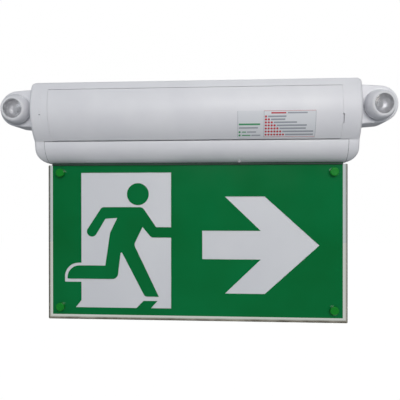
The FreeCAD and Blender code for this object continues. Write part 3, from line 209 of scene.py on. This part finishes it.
def shader_tree(name):
    """A material with a Principled shader: the material, its tree, the shader and the object coordinates."""
    material = bpy.data.materials.new(name)
    material.use_nodes = True
    tree = material.node_tree
    tree.nodes.clear()
    shader = add_node(tree, "ShaderNodeBsdfPrincipled")
    add_node(tree, "ShaderNodeOutputMaterial", links={"Surface": shader.outputs["BSDF"]})
    place = add_node(tree, "ShaderNodeTexCoord").outputs["Object"]
    return material, tree, shader, place


def two_tones(tree, place, patch_mm, first, second):
    """A soft mottle of two colours, in patches of a real size."""
    noise = add_node(tree, "ShaderNodeTexNoise", inputs={"Scale": 1 / (patch_mm * MM), "Detail": 3.0},
                     links={"Vector": place})
    ramp = add_node(tree, "ShaderNodeValToRGB", links={"Fac": noise.outputs["Fac"]})
    for element, position, colour in zip(ramp.color_ramp.elements, (0.35, 0.65), (first, second)):
        element.position = position
        element.color = linear(colour)
    return ramp.outputs["Color"]


def grain(tree, place, grain_mm, height_mm):
    """A bump of grains of a real width and height."""
    noise = add_node(tree, "ShaderNodeTexNoise", inputs={"Scale": 1 / (grain_mm * MM), "Detail": 2.0},
                     links={"Vector": place})
    bump = add_node(tree, "ShaderNodeBump", inputs={"Strength": 1.0, "Distance": height_mm * MM},
                    links={"Height": noise.outputs["Fac"]})
    return bump.outputs["Normal"]


def rough_range(tree, place, patch_mm, low, high):
    """Roughness that drifts between two values, in patches of a real size."""
    noise = add_node(tree, "ShaderNodeTexNoise", inputs={"Scale": 1 / (patch_mm * MM), "Detail": 2.0},
                     links={"Vector": place})
    drift = add_node(tree, "ShaderNodeMapRange", inputs={"To Min": low, "To Max": high},
                     links={"Value": noise.outputs["Fac"]})
    return drift.outputs["Result"]


def split_colour(tree, place, axis, limit, below, above):
    """One colour below a limit along an axis and another above it."""
    parts = add_node(tree, "ShaderNodeSeparateXYZ", links={"Vector": place})
    step = add_node(tree, "ShaderNodeMath", settings={"operation": "GREATER_THAN"}, inputs={1: limit},
                    links={0: parts.outputs[axis]})
    mix = add_node(tree, "ShaderNodeMix", settings={"data_type": "RGBA"},
                   inputs={"A": linear(below), "B": linear(above)}, links={"Factor": step.outputs["Value"]})
    return mix.outputs["Result"], step.outputs["Value"]


def moulded_abs(name, first, second, low=0.38, high=0.5):
    """Injection-moulded plastic from a spark-eroded tool: a satin skin that spreads each light wide, with slight
    flow mottle. The real grain is about 0.1 mm wide and is drawn wider, because it wouldn't show."""
    material, tree, shader, place = shader_tree(name)
    tree.links.new(two_tones(tree, place, 45.45, first, second), shader.inputs["Base Color"])
    tree.links.new(rough_range(tree, place, 16.67, low, high), shader.inputs["Roughness"])
    tree.links.new(grain(tree, place, grain_mm=0.45, height_mm=0.007), shader.inputs["Normal"])
    shader.inputs["IOR"].default_value = 1.53
    return material


def clear_plastic(name, tint, ior, roughness):
    """Polished clear plastic: bright reflections, a faint tint and faint flow waves in the surface."""
    material, tree, shader, place = shader_tree(name)
    shader.inputs["Base Color"].default_value = linear(tint)
    shader.inputs["IOR"].default_value = ior
    shader.inputs["Transmission Weight"].default_value = 1.0
    tree.links.new(rough_range(tree, place, 25.0, roughness, roughness + 0.02), shader.inputs["Roughness"])
    tree.links.new(grain(tree, place, grain_mm=30.0, height_mm=0.02), shader.inputs["Normal"])
    return material


def edged_sheet(name, side_x, foot_z):
    """Cast acrylic sheet: clear, with dull sawn edges, a darker brownish tint near its sides and a darker brownish
    mottle towards its foot.
    """
    material, tree, shader, place = shader_tree(name)
    parts = add_node(tree, "ShaderNodeSeparateXYZ", links={"Vector": place})
    away = add_node(tree, "ShaderNodeMath", settings={"operation": "ABSOLUTE"}, links={0: parts.outputs["X"]})
    across, height = away.outputs["Value"], parts.outputs["Z"]
    near_side, near_foot, on_side, on_foot = [
        add_node(tree, "ShaderNodeMapRange", links={"Value": source},
                 inputs={"From Min": start, "From Max": full}).outputs["Result"]
        for source, start, full in ((across, side_x - 1.7 * MM, side_x - 0.9 * MM),
                                    (height, foot_z + 2.6 * MM, foot_z + 1.4 * MM),
                                    (across, side_x - 0.1 * MM, side_x - 0.02 * MM),
                                    (height, foot_z + 0.1 * MM, foot_z + 0.02 * MM))]
    tint = add_node(tree, "ShaderNodeMix", settings={"data_type": "RGBA"},
                    inputs={"A": linear("#F1F4EE"), "B": linear("#B4B0A3")}, links={"Factor": near_side})
    foot_mottle = two_tones(tree, place, 14.29, "#B2AEA0", "#6F6B5D")
    tint = add_node(tree, "ShaderNodeMix", settings={"data_type": "RGBA"},
                    links={"Factor": near_foot, "A": tint.outputs["Result"], "B": foot_mottle})
    sawn = add_node(tree, "ShaderNodeMath", settings={"operation": "MAXIMUM"}, links={0: on_side, 1: on_foot})
    for socket, face, edge in (("Roughness", 0.01, 0.55), ("Transmission Weight", 1.0, 0.35)):
        value = add_node(tree, "ShaderNodeMapRange", inputs={"To Min": face, "To Max": edge},
                         links={"Value": sawn.outputs["Value"]})
        tree.links.new(value.outputs["Result"], shader.inputs[socket])
    tree.links.new(tint.outputs["Result"], shader.inputs["Base Color"])
    tree.links.new(grain(tree, place, grain_mm=30.0, height_mm=0.02), shader.inputs["Normal"])
    shader.inputs["IOR"].default_value = 1.49
    return material


def film(name, first, second, roughness, coat=0.0, ior=1.5):
    """Printed or plain plastic film, ink or lacquer: an even colour with a slight drift, and a faint orange peel."""
    material, tree, shader, place = shader_tree(name)
    tree.links.new(two_tones(tree, place, 83.33, first, second), shader.inputs["Base Color"])
    tree.links.new(rough_range(tree, place, 33.33, roughness, roughness + 0.1), shader.inputs["Roughness"])
    tree.links.new(grain(tree, place, grain_mm=0.8, height_mm=0.001), shader.inputs["Normal"])
    shader.inputs["IOR"].default_value = ior
    shader.inputs["Coat Weight"].default_value = coat
    return material


def metal(name, first, second, roughness, grain_mm):
    """Bare or plated metal: tinted reflections, broken a little by the grain of its finish, which is drawn wider
    than it is because it wouldn't show."""
    material, tree, shader, place = shader_tree(name)
    tree.links.new(two_tones(tree, place, 11.11, first, second), shader.inputs["Base Color"])
    tree.links.new(rough_range(tree, place, 6.67, roughness, roughness + 0.12), shader.inputs["Roughness"])
    tree.links.new(grain(tree, place, grain_mm, height_mm=0.01), shader.inputs["Normal"])
    shader.inputs["Metallic"].default_value = 1.0
    return material


def peened_mirror(name, first, second):
    """Vacuum-metallised plastic cup with peened facets 3 mm wide, which break the mirror image into soft patches."""
    material, tree, shader, place = shader_tree(name)
    facets = add_node(tree, "ShaderNodeTexVoronoi", inputs={"Scale": 1 / (3.2 * MM)}, links={"Vector": place})
    bump = add_node(tree, "ShaderNodeBump", inputs={"Distance": 0.3 * MM},
                    links={"Height": facets.outputs["Distance"]})
    tree.links.new(two_tones(tree, place, 6.67, first, second), shader.inputs["Base Color"])
    tree.links.new(rough_range(tree, place, 6.67, 0.46, 0.56), shader.inputs["Roughness"])
    tree.links.new(bump.outputs["Normal"], shader.inputs["Normal"])
    shader.inputs["Metallic"].default_value = 1.0
    return material


def circuit_board(name):
    """Glass-epoxy board under green solder mask, with the lighter lines of its copper tracks, 0.5 mm wide."""
    material, tree, shader, place = shader_tree(name)
    upright = add_node(tree, "ShaderNodeMapping", inputs={"Rotation": (math.pi / 2, 0, 0)}, links={"Vector": place})
    tracks = add_node(tree, "ShaderNodeTexBrick", settings={"offset": 0.4, "squash": 1.6},
                      inputs={"Scale": 1 / (16.67 * MM), "Mortar Size": 0.03, "Color1": linear("#12512E"),
                              "Color2": linear("#0F4628"), "Mortar": linear("#2C7A47")},
                      links={"Vector": upright.outputs["Vector"]})
    tree.links.new(tracks.outputs["Color"], shader.inputs["Base Color"])
    tree.links.new(rough_range(tree, place, 5.0, 0.25, 0.4), shader.inputs["Roughness"])
    tree.links.new(grain(tree, place, grain_mm=0.6, height_mm=0.02), shader.inputs["Normal"])
    return material


def sleeved_can(name, front_y):
    """Aluminium capacitor cans in a dark sleeve that leaves their fronts bare and shiny."""
    material, tree, shader, place = shader_tree(name)
    colour, sleeved = split_colour(tree, place, "Y", front_y, "#C9CBCD", "#1D2A4A")
    bare = add_node(tree, "ShaderNodeMath", settings={"operation": "SUBTRACT"}, inputs={0: 1.0},
                    links={1: sleeved})
    tree.links.new(colour, shader.inputs["Base Color"])
    tree.links.new(bare.outputs["Value"], shader.inputs["Metallic"])
    tree.links.new(rough_range(tree, place, 5.0, 0.28, 0.4), shader.inputs["Roughness"])
    return material


def wound_core(name, front_y):
    """Laminated steel core, striped by its 1 mm sheets, and the yellow tape of the coil that stands out in front.
    The wave node turns 20 radians over one unit."""
    material, tree, shader, place = shader_tree(name)
    colour, steel = split_colour(tree, place, "Y", front_y, "#C9A53A", "#4B4D50")
    sheets = add_node(tree, "ShaderNodeTexWave", settings={"bands_direction": "Y"}, links={"Vector": place},
                      inputs={"Scale": 2 * math.pi / (20 * 1.0 * MM), "Distortion": 0.4})
    bump = add_node(tree, "ShaderNodeBump", inputs={"Distance": 0.1 * MM},
                    links={"Height": sheets.outputs["Fac"]})
    tree.links.new(colour, shader.inputs["Base Color"])
    tree.links.new(steel, shader.inputs["Metallic"])
    tree.links.new(rough_range(tree, place, 6.67, 0.4, 0.6), shader.inputs["Roughness"])
    tree.links.new(bump.outputs["Normal"], shader.inputs["Normal"])
    return material


def glass_fuse(name, low_z, high_z):
    """Clear glass tube, with a bright plated cap below one height and another above the other."""
    material, tree, shader, place = shader_tree(name)
    parts = add_node(tree, "ShaderNodeSeparateXYZ", links={"Vector": place})
    middle, half = (low_z + high_z) / 2, (high_z - low_z) / 2
    offset = add_node(tree, "ShaderNodeMath", settings={"operation": "SUBTRACT"}, inputs={1: middle},
                      links={0: parts.outputs["Z"]})
    away = add_node(tree, "ShaderNodeMath", settings={"operation": "ABSOLUTE"},
                    links={0: offset.outputs["Value"]})
    cap = add_node(tree, "ShaderNodeMath", settings={"operation": "GREATER_THAN"}, inputs={1: half},
                   links={0: away.outputs["Value"]})
    glass = add_node(tree, "ShaderNodeMath", settings={"operation": "SUBTRACT"}, inputs={0: 1.0},
                     links={1: cap.outputs["Value"]})
    tree.links.new(two_tones(tree, place, 5.0, "#D8DADC", "#E6E8EA"), shader.inputs["Base Color"])
    tree.links.new(cap.outputs["Value"], shader.inputs["Metallic"])
    tree.links.new(glass.outputs["Value"], shader.inputs["Transmission Weight"])
    tree.links.new(rough_range(tree, place, 5.0, 0.08, 0.16), shader.inputs["Roughness"])
    return material


# Cool white plastic: satin on the housing and arms, smoother on the balls, and palest and glossiest on the rims
housing_abs = moulded_abs("white_abs", "#E3E3E7", "#E9E9EC")
ball_abs = moulded_abs("white_abs_polished", "#DEDEE2", "#E4E4E8", low=0.3, high=0.4)
bezel_abs = moulded_abs("white_abs_gloss", "#E6E6E9", "#ECECEE", low=0.24, high=0.34)
button_abs = moulded_abs("grey_abs", "#A2A3A6", "#ABACAF", low=0.45, high=0.55)

# Plain technical plastics: waxy nylon, and the shinier blacks and greys of bought-in parts
nut_nylon = moulded_abs("natural_nylon", "#D2D1CB", "#DAD9D4", low=0.4, high=0.5)
terminal_nylon = moulded_abs("grey_nylon", "#9A9B99", "#A3A4A2", low=0.4, high=0.55)
relay_plastic = moulded_abs("black_polyester", "#17181A", "#1F2022", low=0.3, high=0.45)
switch_plastic = moulded_abs("black_nylon", "#121314", "#1A1B1C", low=0.35, high=0.5)

# Rubber and grime: dull skins that hardly reflect, so they read as dark lines and marks. The dark green strip along
# the bar's foot and the grey strips in the gaps at the bar's ends are painted shade.
grommet_rubber = moulded_abs("black_rubber", "#121212", "#191919", low=0.6, high=0.75)
bar_foot_shade_paint = moulded_abs("painted_shade_dark_green", "#22352D", "#2A3F36", low=0.6, high=0.75)
seam_shade_paint = moulded_abs("painted_seam_shade_grey", "#5E6066", "#686A70", low=0.7, high=0.85)
scuff_grime = moulded_abs("grey_grime", "#96989E", "#8A8C92", low=0.7, high=0.85)

# Clear parts: the sheet is as clear as glass, and the lens is frosted enough to blur what lies behind it
acrylic = edged_sheet("cast_acrylic", sheet_high.x, sheet_low.z)
lens_polycarbonate = clear_plastic("clear_polycarbonate", "#F4F4F5", ior=1.585, roughness=0.18)

# Legend: a matt opal plate under smooth deep green ink, and glossy brighter green caps
legend_film = film("opal_film", "#D8D9DD", "#DDDEE1", roughness=0.4)
green_ink = film("green_screen_ink", "#02743C", "#026B33", roughness=0.06, ior=1.38)
cap_acrylic = film("green_acrylic", "#128A2A", "#0F8225", roughness=0.08)

# Label: silvery matt film with flat inks
label_film = film("silver_polyester", "#DCDEE2", "#E1E3E6", roughness=0.4, coat=0.1)
red_ink = film("red_label_ink", "#C62B3C", "#B92436", roughness=0.4, coat=0.2)
grey_ink = film("grey_label_ink", "#969AA3", "#A0A4AC", roughness=0.4, coat=0.2)
green_label_ink = film("green_label_ink", "#3E9A62", "#459F68", roughness=0.4, coat=0.2)

# Boards, their LEDs and the battery's shrink sleeve: lacquered skins, the phosphor a soft yellow
strip_mask = film("white_solder_mask", "#DDE0DE", "#E5E7E6", roughness=0.3, coat=0.3)
grey_mask = film("grey_solder_mask", "#D2D3D6", "#DADBDE", roughness=0.45)
phosphor = film("yellow_phosphor", "#D9C24A", "#E2CE62", roughness=0.35, coat=0.5)
battery_sleeve = film("blue_pvc_sleeve", "#1B3F86", "#224A96", roughness=0.25, coat=0.4)
board_mask = circuit_board("green_solder_mask")

# Metals: bluish zinc, paler anodised aluminium, warm brass, and the lamps' soft mirrors
zinc_steel = metal("zinc_plated_steel", "#B9BCC0", "#A6A9AE", roughness=0.25, grain_mm=0.3)
anodised = metal("anodised_aluminium", "#C6C8CA", "#BABDC0", roughness=0.3, grain_mm=0.25)
brass = metal("turned_brass", "#C9A45A", "#B9934A", roughness=0.25, grain_mm=0.3)
mirror_coat = peened_mirror("vacuum_aluminium", "#E0E0E2", "#D8D8DB")

FINISHES = {
    "base_tray": housing_abs, "front_cover": housing_abs, "light_bar": housing_abs, "test_button": button_abs,
    "light_guide": acrylic, "legend_plate": legend_film, "green_legend": green_ink,
    "reflector_sheet": legend_film, "panel_studs": cap_acrylic, "stud_nuts": nut_nylon,
    "light_rail": anodised, "led_strip_board": strip_mask, "strip_leds": phosphor,
    "rail_screws": zinc_steel, "bar_screws": zinc_steel, "arm_screws": zinc_steel,
    "board_screws": zinc_steel, "clip_screws": zinc_steel, "cover_hinge_pin": zinc_steel,
    "test_switch_board": board_mask, "test_switch": switch_plastic, "cable_grommet": grommet_rubber,
    "battery_pack": battery_sleeve, "battery_clips": anodised, "driver_board": board_mask,
    "relay": relay_plastic, "terminal_block": terminal_nylon, "terminal_screws": brass,
    "transformer": wound_core("laminated_steel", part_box("transformer")[0].y + COIL_AHEAD),
    "capacitors": sleeved_can("sleeved_aluminium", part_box("capacitors")[0].y + CAN_FRONT),
    "fuse_link": glass_fuse("fuse_glass", fuse_low.z + FUSE_CAP, fuse_high.z - FUSE_CAP),
}
LAMP_FINISHES = {
    "lamp_arm": housing_abs, "arm_back": housing_abs, "lamp_ball": ball_abs, "lamp_bezel": bezel_abs,
    "lamp_lens": lens_polycarbonate, "lamp_reflector": mirror_coat, "lamp_led_board": grey_mask,
    "lamp_saddle": nut_nylon, "lamp_stud": zinc_steel, "lamp_spring": zinc_steel,
}
for side in ("left", "right"):
    FINISHES.update({side + "_" + part: finish for part, finish in LAMP_FINISHES.items()})
for name, finish in FINISHES.items():
    for slot in nodes[name].material_slots:
        slot.material = finish


def choose(*pieces):
    """Selects these pieces alone and makes the first one active."""
    bpy.ops.object.select_all(action="DESELECT")
    for piece in pieces:
        piece.select_set(True)
    bpy.context.view_layer.objects.active = pieces[0]


def settle(piece, name, finish, body):
    """Applies a new piece's place, names it, and gives it its finish and the body that it rides on."""
    choose(piece)
    bpy.ops.object.transform_apply(location=True, rotation=True, scale=True)
    piece.name = name
    piece.data.name = name
    piece.data.materials.clear()
    piece.data.materials.append(finish)
    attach(piece, body)


def joined(pieces):
    """Makes several pieces one, and returns it."""
    choose(*pieces)
    bpy.ops.object.join()
    return pieces[0]


def apply_modifier(piece, kind, **settings):
    """Adds a modifier to a piece and applies it."""
    bpy.context.view_layer.objects.active = piece
    modifier = piece.modifiers.new(kind.title(), kind)
    for name, value in settings.items():
        setattr(modifier, name, value)
    bpy.ops.object.modifier_apply(modifier=modifier.name)


def rounded(width, segments, size=(1, 1, 1)):
    """Gives the primitive just added its size, applies its place, rounds its edges and returns it."""
    piece = bpy.context.object
    piece.scale = size
    bpy.ops.object.transform_apply(location=True, rotation=True, scale=True)
    apply_modifier(piece, "BEVEL", width=width, segments=segments)
    return piece


def on_barrel(x, z, above):
    """A place above the cover's face, and the turn that lays a plate flat on the face there."""
    radius = BARREL_R + above
    lean = math.asin(z / radius)
    return Vector((x, BARREL_Y - radius * math.cos(lean), z)), (math.pi / 2 - lean, 0, 0)


def curved_sheet(left, right, low, high, above, thickness):
    """A thin sheet that follows the cover's barrel face between two heights."""
    bpy.ops.mesh.primitive_cylinder_add(vertices=240, radius=BARREL_R + above, depth=right - left,
                                        end_fill_type="NOTHING", rotation=(0, math.pi / 2, 0),
                                        location=((left + right) / 2, BARREL_Y, 0))
    sheet = bpy.context.object
    bpy.ops.object.transform_apply(location=True, rotation=True, scale=True)
    bpy.ops.object.mode_set(mode="EDIT")
    for place, normal in (((0, 0, high), (0, 0, 1)), ((0, 0, low), (0, 0, -1)),
                          ((0, BARREL_Y, 0), (0, 1, 0))):
        bpy.ops.mesh.select_all(action="SELECT")
        bpy.ops.mesh.bisect(plane_co=place, plane_no=normal, clear_outer=True)
    bpy.ops.object.mode_set(mode="OBJECT")
    apply_modifier(sheet, "SOLIDIFY", thickness=thickness, offset=1.0)
    return sheet


def ink_bar(left, right, z, width):
    """A printed bar on the label."""
    place, turn = on_barrel((left + right) / 2, z, LABEL_T + INK_T / 2)
    bpy.ops.mesh.primitive_cube_add(size=1, location=place, rotation=turn)
    return rounded(INK_T / 3, 1, size=(right - left, width, INK_T))


def ink_dot(x, z):
    """A printed dot on the label."""
    place, turn = on_barrel(x, z, LABEL_T + INK_T / 2)
    bpy.ops.mesh.primitive_cylinder_add(vertices=20, radius=DOT_R, depth=INK_T, location=place, rotation=turn)
    return rounded(INK_T / 3, 1)


# Label: a thin film, ruled lines round a chart of dots and bars, and more bars at the left
label = curved_sheet(LABEL_LEFT, LABEL_RIGHT, LABEL_LOW, LABEL_TOP, 0, LABEL_T)
settle(label, "cover_label", label_film, "cover")
prints = {"red": [], "grey": [], "green": []}
for z in (LABEL_TOP - LINE_W, CHART_FOOT):
    prints["red"].append(ink_bar(CHART_LEFT, LABEL_RIGHT - LINE_W, z, LINE_W))
for row, row_end in enumerate(ROW_ENDS):
    z = ROW_TOP - row * ROW_PITCH
    for column in range(row + 1):
        prints["red"].append(ink_dot(CHART_LEFT + DOT_START + DOT_R + column * DOT_PITCH, z))
    bar_start = CHART_LEFT + BAR_START + (row + 1) * DOT_PITCH
    prints["grey"].append(ink_bar(bar_start, row_end * MM, z, ROW_BAR_W))
for x in (LABEL_LEFT, CHART_LEFT, LABEL_RIGHT - LINE_W):
    prints["grey"].append(curved_sheet(x, x + LINE_W, CHART_FOOT, LABEL_TOP - LINE_W, LABEL_T, INK_T))
for ink, left, right, z, width in PRINTED_BARS:
    prints[ink].append(ink_bar(left * MM, right * MM, z * MM, width * MM))
for x, z in PRINTED_DOTS:
    prints["green"].append(ink_dot(x * MM, z * MM))
settle(joined(prints["red"]), "label_red_print", red_ink, "cover")
settle(joined(prints["grey"]), "label_grey_print", grey_ink, "cover")
settle(joined(prints["green"]), "label_green_print", green_label_ink, "cover")

# The cover's right-hand edge, which closes over the seam
seam_edge = curved_sheet(cover_high.x, cover_high.x + EDGE_W, cover_low.z + EDGE_W, cover_high.z - EDGE_W,
                         -EDGE_T, EDGE_T)
settle(seam_edge, "cover_seam_edge", housing_abs, "cover")

# Grey strips of painted shade in the gaps at the ends of the light bar: a slice off each end of a copy of it,
# moved out into the gap
shade_slices = []
for end in (-1, 1):
    shade_slice = nodes["light_bar"].copy()
    shade_slice.data = nodes["light_bar"].data.copy()
    bpy.context.collection.objects.link(shade_slice)
    choose(shade_slice)
    bpy.ops.object.mode_set(mode="EDIT")
    bpy.ops.mesh.select_all(action="SELECT")
    bpy.ops.mesh.remove_doubles(threshold=MERGE)
    bpy.ops.mesh.bisect(plane_co=(end * (bar_high.x - SEAM_SHADE_T), 0, 0), plane_no=(end, 0, 0),
                        use_fill=True, clear_inner=True)
    bpy.ops.mesh.select_all(action="SELECT")
    bpy.ops.transform.translate(value=(end * SEAM_SHADE_T, 0, 0))
    bpy.ops.object.mode_set(mode="OBJECT")
    shade_slices.append(shade_slice)
settle(joined(shade_slices), "bar_end_painted_shade", seam_shade_paint, "housing")

# Dark green strip of painted shade along the light bar's foot, in front of the legend
bpy.ops.mesh.primitive_cube_add(size=1, location=(0, (SHADE_STRIP_FRONT + SHADE_STRIP_BACK) / 2, bar_low.z - SHADE_STRIP_DEPTH / 2))
shade_strip = rounded(SHADE_STRIP_ROUNDING, 3, size=(SHADE_STRIP_LENGTH, SHADE_STRIP_BACK - SHADE_STRIP_FRONT, SHADE_STRIP_DEPTH))
settle(shade_strip, "bar_foot_painted_shade", bar_foot_shade_paint, "housing")

# Small scuff on the left end, as in the photograph
place, turn = on_barrel(SCUFF_X, SCUFF_Z, INK_T / 2)
bpy.ops.mesh.primitive_cylinder_add(vertices=16, radius=0.5, depth=1, location=place, rotation=turn)
scuff = rounded(INK_T / 3, 1, size=SCUFF_SIZE)
settle(scuff, "left_end_scuff", scuff_grime, "housing")

# Raised arrow that points at the release slot
place, turn = on_barrel(ARROW_X, ARROW_Z, 0)
bpy.ops.mesh.primitive_cylinder_add(vertices=3, radius=ARROW_R, depth=2 * ARROW_RISE, location=place,
                                    rotation=turn)
arrow = rounded(ARROW_RISE / 2, 2)
settle(arrow, "slot_arrow", housing_abs, "cover")

# Snap tab that holds the cover shut, seen through the release slot
place, turn = on_barrel(TAB_X, TAB_Z, -TAB_BELOW)
bpy.ops.mesh.primitive_cube_add(size=1, location=place, rotation=turn)
tab = rounded(TAB_ROUNDING, 2, size=TAB_SIZE)
settle(tab, "snap_tab", housing_abs, "housing")


def cross_screw(head_place, heading, head_r, head_h, shank_r, shank):
    """A screw with a domed head and a cross recess. Its head's underside is at head_place, and its shank runs on
    along the heading."""
    bpy.ops.mesh.primitive_cylinder_add(vertices=32, radius=head_r, depth=head_h, location=(0, 0, head_h / 2))
    head = rounded(head_h * HEAD_ROUNDING, 3)
    for spin in (0, math.pi / 2):
        bpy.ops.mesh.primitive_cube_add(size=1, location=(0, 0, head_h), rotation=(0, 0, spin))
        blade = bpy.context.object
        blade.scale = (head_r * RECESS_LENGTH, head_r * RECESS_WIDTH, head_h * RECESS_DEPTH)
        bpy.ops.object.transform_apply(location=True, rotation=True, scale=True)
        apply_modifier(head, "BOOLEAN", object=blade, operation="DIFFERENCE", solver="EXACT")
        bpy.data.objects.remove(blade)
    bpy.ops.mesh.primitive_cylinder_add(vertices=20, radius=shank_r, depth=shank, location=(0, 0, -shank / 2))
    screw = joined([head, rounded(shank_r * SHANK_ROUNDING, 1)])
    screw.rotation_euler = TURN_TO[heading]
    screw.location = head_place
    bpy.ops.object.transform_apply(location=True, rotation=True, scale=True)
    return screw


def screw_group(node, axis, places, head_r, head_h, shank_r):
    """Replaces a node of plain screws by cross-recess ones in the same places."""
    low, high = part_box(node)
    screws = []
    for x, y, z in places:
        if axis == "Y":
            heading, head_place, shank = "Y", (x, low.y + head_h, z), high.y - low.y - head_h
        elif axis == "-Z":
            heading, head_place, shank = "-Z", (x, y, high.z - head_h), high.z - low.z - head_h
        else:
            heading, head_place, shank = "X" if x > 0 else "-X", (x, y, z), high.x - abs(x)
        screws.append(cross_screw(head_place, heading, head_r, head_h, shank_r, shank))
    group = joined(screws)
    settle(group, node + "_cross", zinc_steel, "housing")
    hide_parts(node)


def row_places(node, count, head_r):
    """Places along X for screws whose heads reach the ends of the node's box."""
    low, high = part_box(node)
    middle, run = (low + high) / 2, high.x - low.x - 2 * head_r
    return [(low.x + head_r + index * run / (count - 1), middle.y, middle.z) for index in range(count)]


# Screws in rows, and one in each corner of the circuit board and of the two arm roots
screw_group("rail_screws", "Y", row_places("rail_screws", 3, LARGE_SCREW[0]), *LARGE_SCREW)
screw_group("bar_screws", "-Z", row_places("bar_screws", 3, LARGE_SCREW[0]), *LARGE_SCREW)
screw_group("clip_screws", "Y", row_places("clip_screws", 2, SMALL_SCREW[0]), *SMALL_SCREW)
low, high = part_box("board_screws")
inset = SMALL_SCREW[0]
corners = [(x, 0, z) for x in (low.x + inset, high.x - inset) for z in (low.z + inset, high.z - inset)]
screw_group("board_screws", "Y", corners, *SMALL_SCREW)
low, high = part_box("arm_screws")
inset = LARGE_SCREW[0]
corners = [(x, (low.y + high.y) / 2, z) for x in (low.x + ARM_SCREW_LENGTH, high.x - ARM_SCREW_LENGTH)
           for z in (low.z + inset, high.z - inset)]
screw_group("arm_screws", "X", corners, *LARGE_SCREW)

# Coil springs, in place of the plain ones
for side in ("left", "right"):
    node = side + "_lamp_spring"
    low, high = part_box(node)
    middle = (low + high) / 2
    bpy.ops.mesh.primitive_circle_add(vertices=12, radius=WIRE_R, rotation=(math.pi / 2, 0, 0),
                                      location=((high.x - low.x) / 2 - WIRE_R, 0, 0))
    coil = bpy.context.object
    bpy.ops.object.transform_apply(location=True, rotation=True, scale=True)
    apply_modifier(coil, "SCREW", angle=2 * math.pi, iterations=COIL_TURNS, steps=COIL_STEPS,
                   render_steps=COIL_STEPS, screw_offset=(high.y - low.y - 2 * WIRE_R) / COIL_TURNS)
    coil.rotation_euler = (-math.pi / 2, 0, 0)
    coil.location = (middle.x, low.y + WIRE_R, middle.z)
    settle(coil, node + "_coil", zinc_steel, "housing")
    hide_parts(node)

camera_data = bpy.data.cameras.new("photo_camera")
camera_data.lens = CAMERA_LENS
camera_data.sensor_width = SENSOR
camera = bpy.data.objects.new("photo_camera", camera_data)
bpy.context.collection.objects.link(camera)
camera.location = CAMERA_PLACE
camera.rotation_euler = [math.radians(a) for a in (90 + CAMERA_PITCH, CAMERA_ROLL, CAMERA_YAW)]
bpy.context.scene.camera = camera

for name, place, width, height, power, colour in LIGHTS:
    light = bpy.data.lights.new(name, "AREA")
    light.shape = "RECTANGLE"
    light.size = width
    light.size_y = height
    light.energy = power
    light.color = linear(colour)[:3]
    lamp = bpy.data.objects.new(name, light)
    bpy.context.collection.objects.link(lamp)
    lamp.location = place
    lamp.rotation_euler = (Vector(place) - Vector(LIGHTS_AIM)).to_track_quat("Z", "Y").to_euler()


def seen_level(tree, mirrored, through):
    """1 for rays from the camera, less for those from mirrors and through clear parts, and 0 for light on the
    object."""
    path = add_node(tree, "ShaderNodeLightPath")
    level = path.outputs["Is Camera Ray"]
    for ray, share in (("Is Glossy Ray", mirrored), ("Is Transmission Ray", through)):
        part = add_node(tree, "ShaderNodeMath", settings={"operation": "MULTIPLY"}, inputs={1: share},
                        links={0: path.outputs[ray]})
        level = add_node(tree, "ShaderNodeMath", settings={"operation": "MAXIMUM"},
                         links={0: level, 1: part.outputs["Value"]}).outputs["Value"]
    return level


# White surroundings, which also light the object a little, though not through its gloss
world = bpy.data.worlds.new("white_studio")
bpy.context.scene.world = world
world.use_nodes = True
tree = world.node_tree
tree.nodes.clear()
path = add_node(tree, "ShaderNodeLightPath")
soft = add_node(tree, "ShaderNodeMapRange", inputs={"To Min": AMBIENT, "To Max": 0.0},
                links={"Value": path.outputs["Is Glossy Ray"]})
level = add_node(tree, "ShaderNodeMath", settings={"operation": "MAXIMUM"},
                 links={0: soft.outputs["Result"], 1: seen_level(tree, MIRRORED, THROUGH)})
tint = add_node(tree, "ShaderNodeMix", settings={"data_type": "RGBA"},
                inputs={"A": linear(AMBIENT_TINT), "B": WHITE}, links={"Factor": path.outputs["Is Camera Ray"]})
sky = add_node(tree, "ShaderNodeBackground",
               links={"Color": tint.outputs["Result"], "Strength": level.outputs["Value"]})
add_node(tree, "ShaderNodeOutputWorld", links={"Surface": sky.outputs["Background"]})

# A floor below, which looks white to the camera and keeps the object's shadow
bpy.ops.object.select_all(action="DESELECT")
bpy.ops.mesh.primitive_plane_add(size=FLOOR_SIZE, location=(0, 0, cad_low.z - FLOOR_BELOW))
floor = bpy.context.object
floor.name = "studio_floor"
bpy.ops.object.transform_apply(location=True, rotation=True, scale=True)
floor_paint = bpy.data.materials.new("white_floor")
floor_paint.use_nodes = True
tree = floor_paint.node_tree
tree.nodes.clear()
paint = add_node(tree, "ShaderNodeBsdfDiffuse", inputs={"Color": linear(FLOOR_PAINT)})
bright = add_node(tree, "ShaderNodeMath", settings={"operation": "MULTIPLY"}, inputs={1: FLOOR_GLOW},
                  links={0: seen_level(tree, MIRRORED, THROUGH)})
glow = add_node(tree, "ShaderNodeEmission", inputs={"Color": WHITE}, links={"Strength": bright.outputs["Value"]})
share = add_node(tree, "ShaderNodeMath", settings={"operation": "MULTIPLY"}, inputs={1: FLOOR_SHARE},
                 links={0: seen_level(tree, 1.0, 1.0)})
blend = add_node(tree, "ShaderNodeMixShader", links={0: share.outputs["Value"], 1: paint.outputs["BSDF"],
                                                     2: glow.outputs["Emission"]})
add_node(tree, "ShaderNodeOutputMaterial", links={"Surface": blend.outputs["Shader"]})
floor.data.materials.append(floor_paint)
floor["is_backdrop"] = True

bpy.context.scene.view_settings.view_transform = "Standard"

low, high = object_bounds()
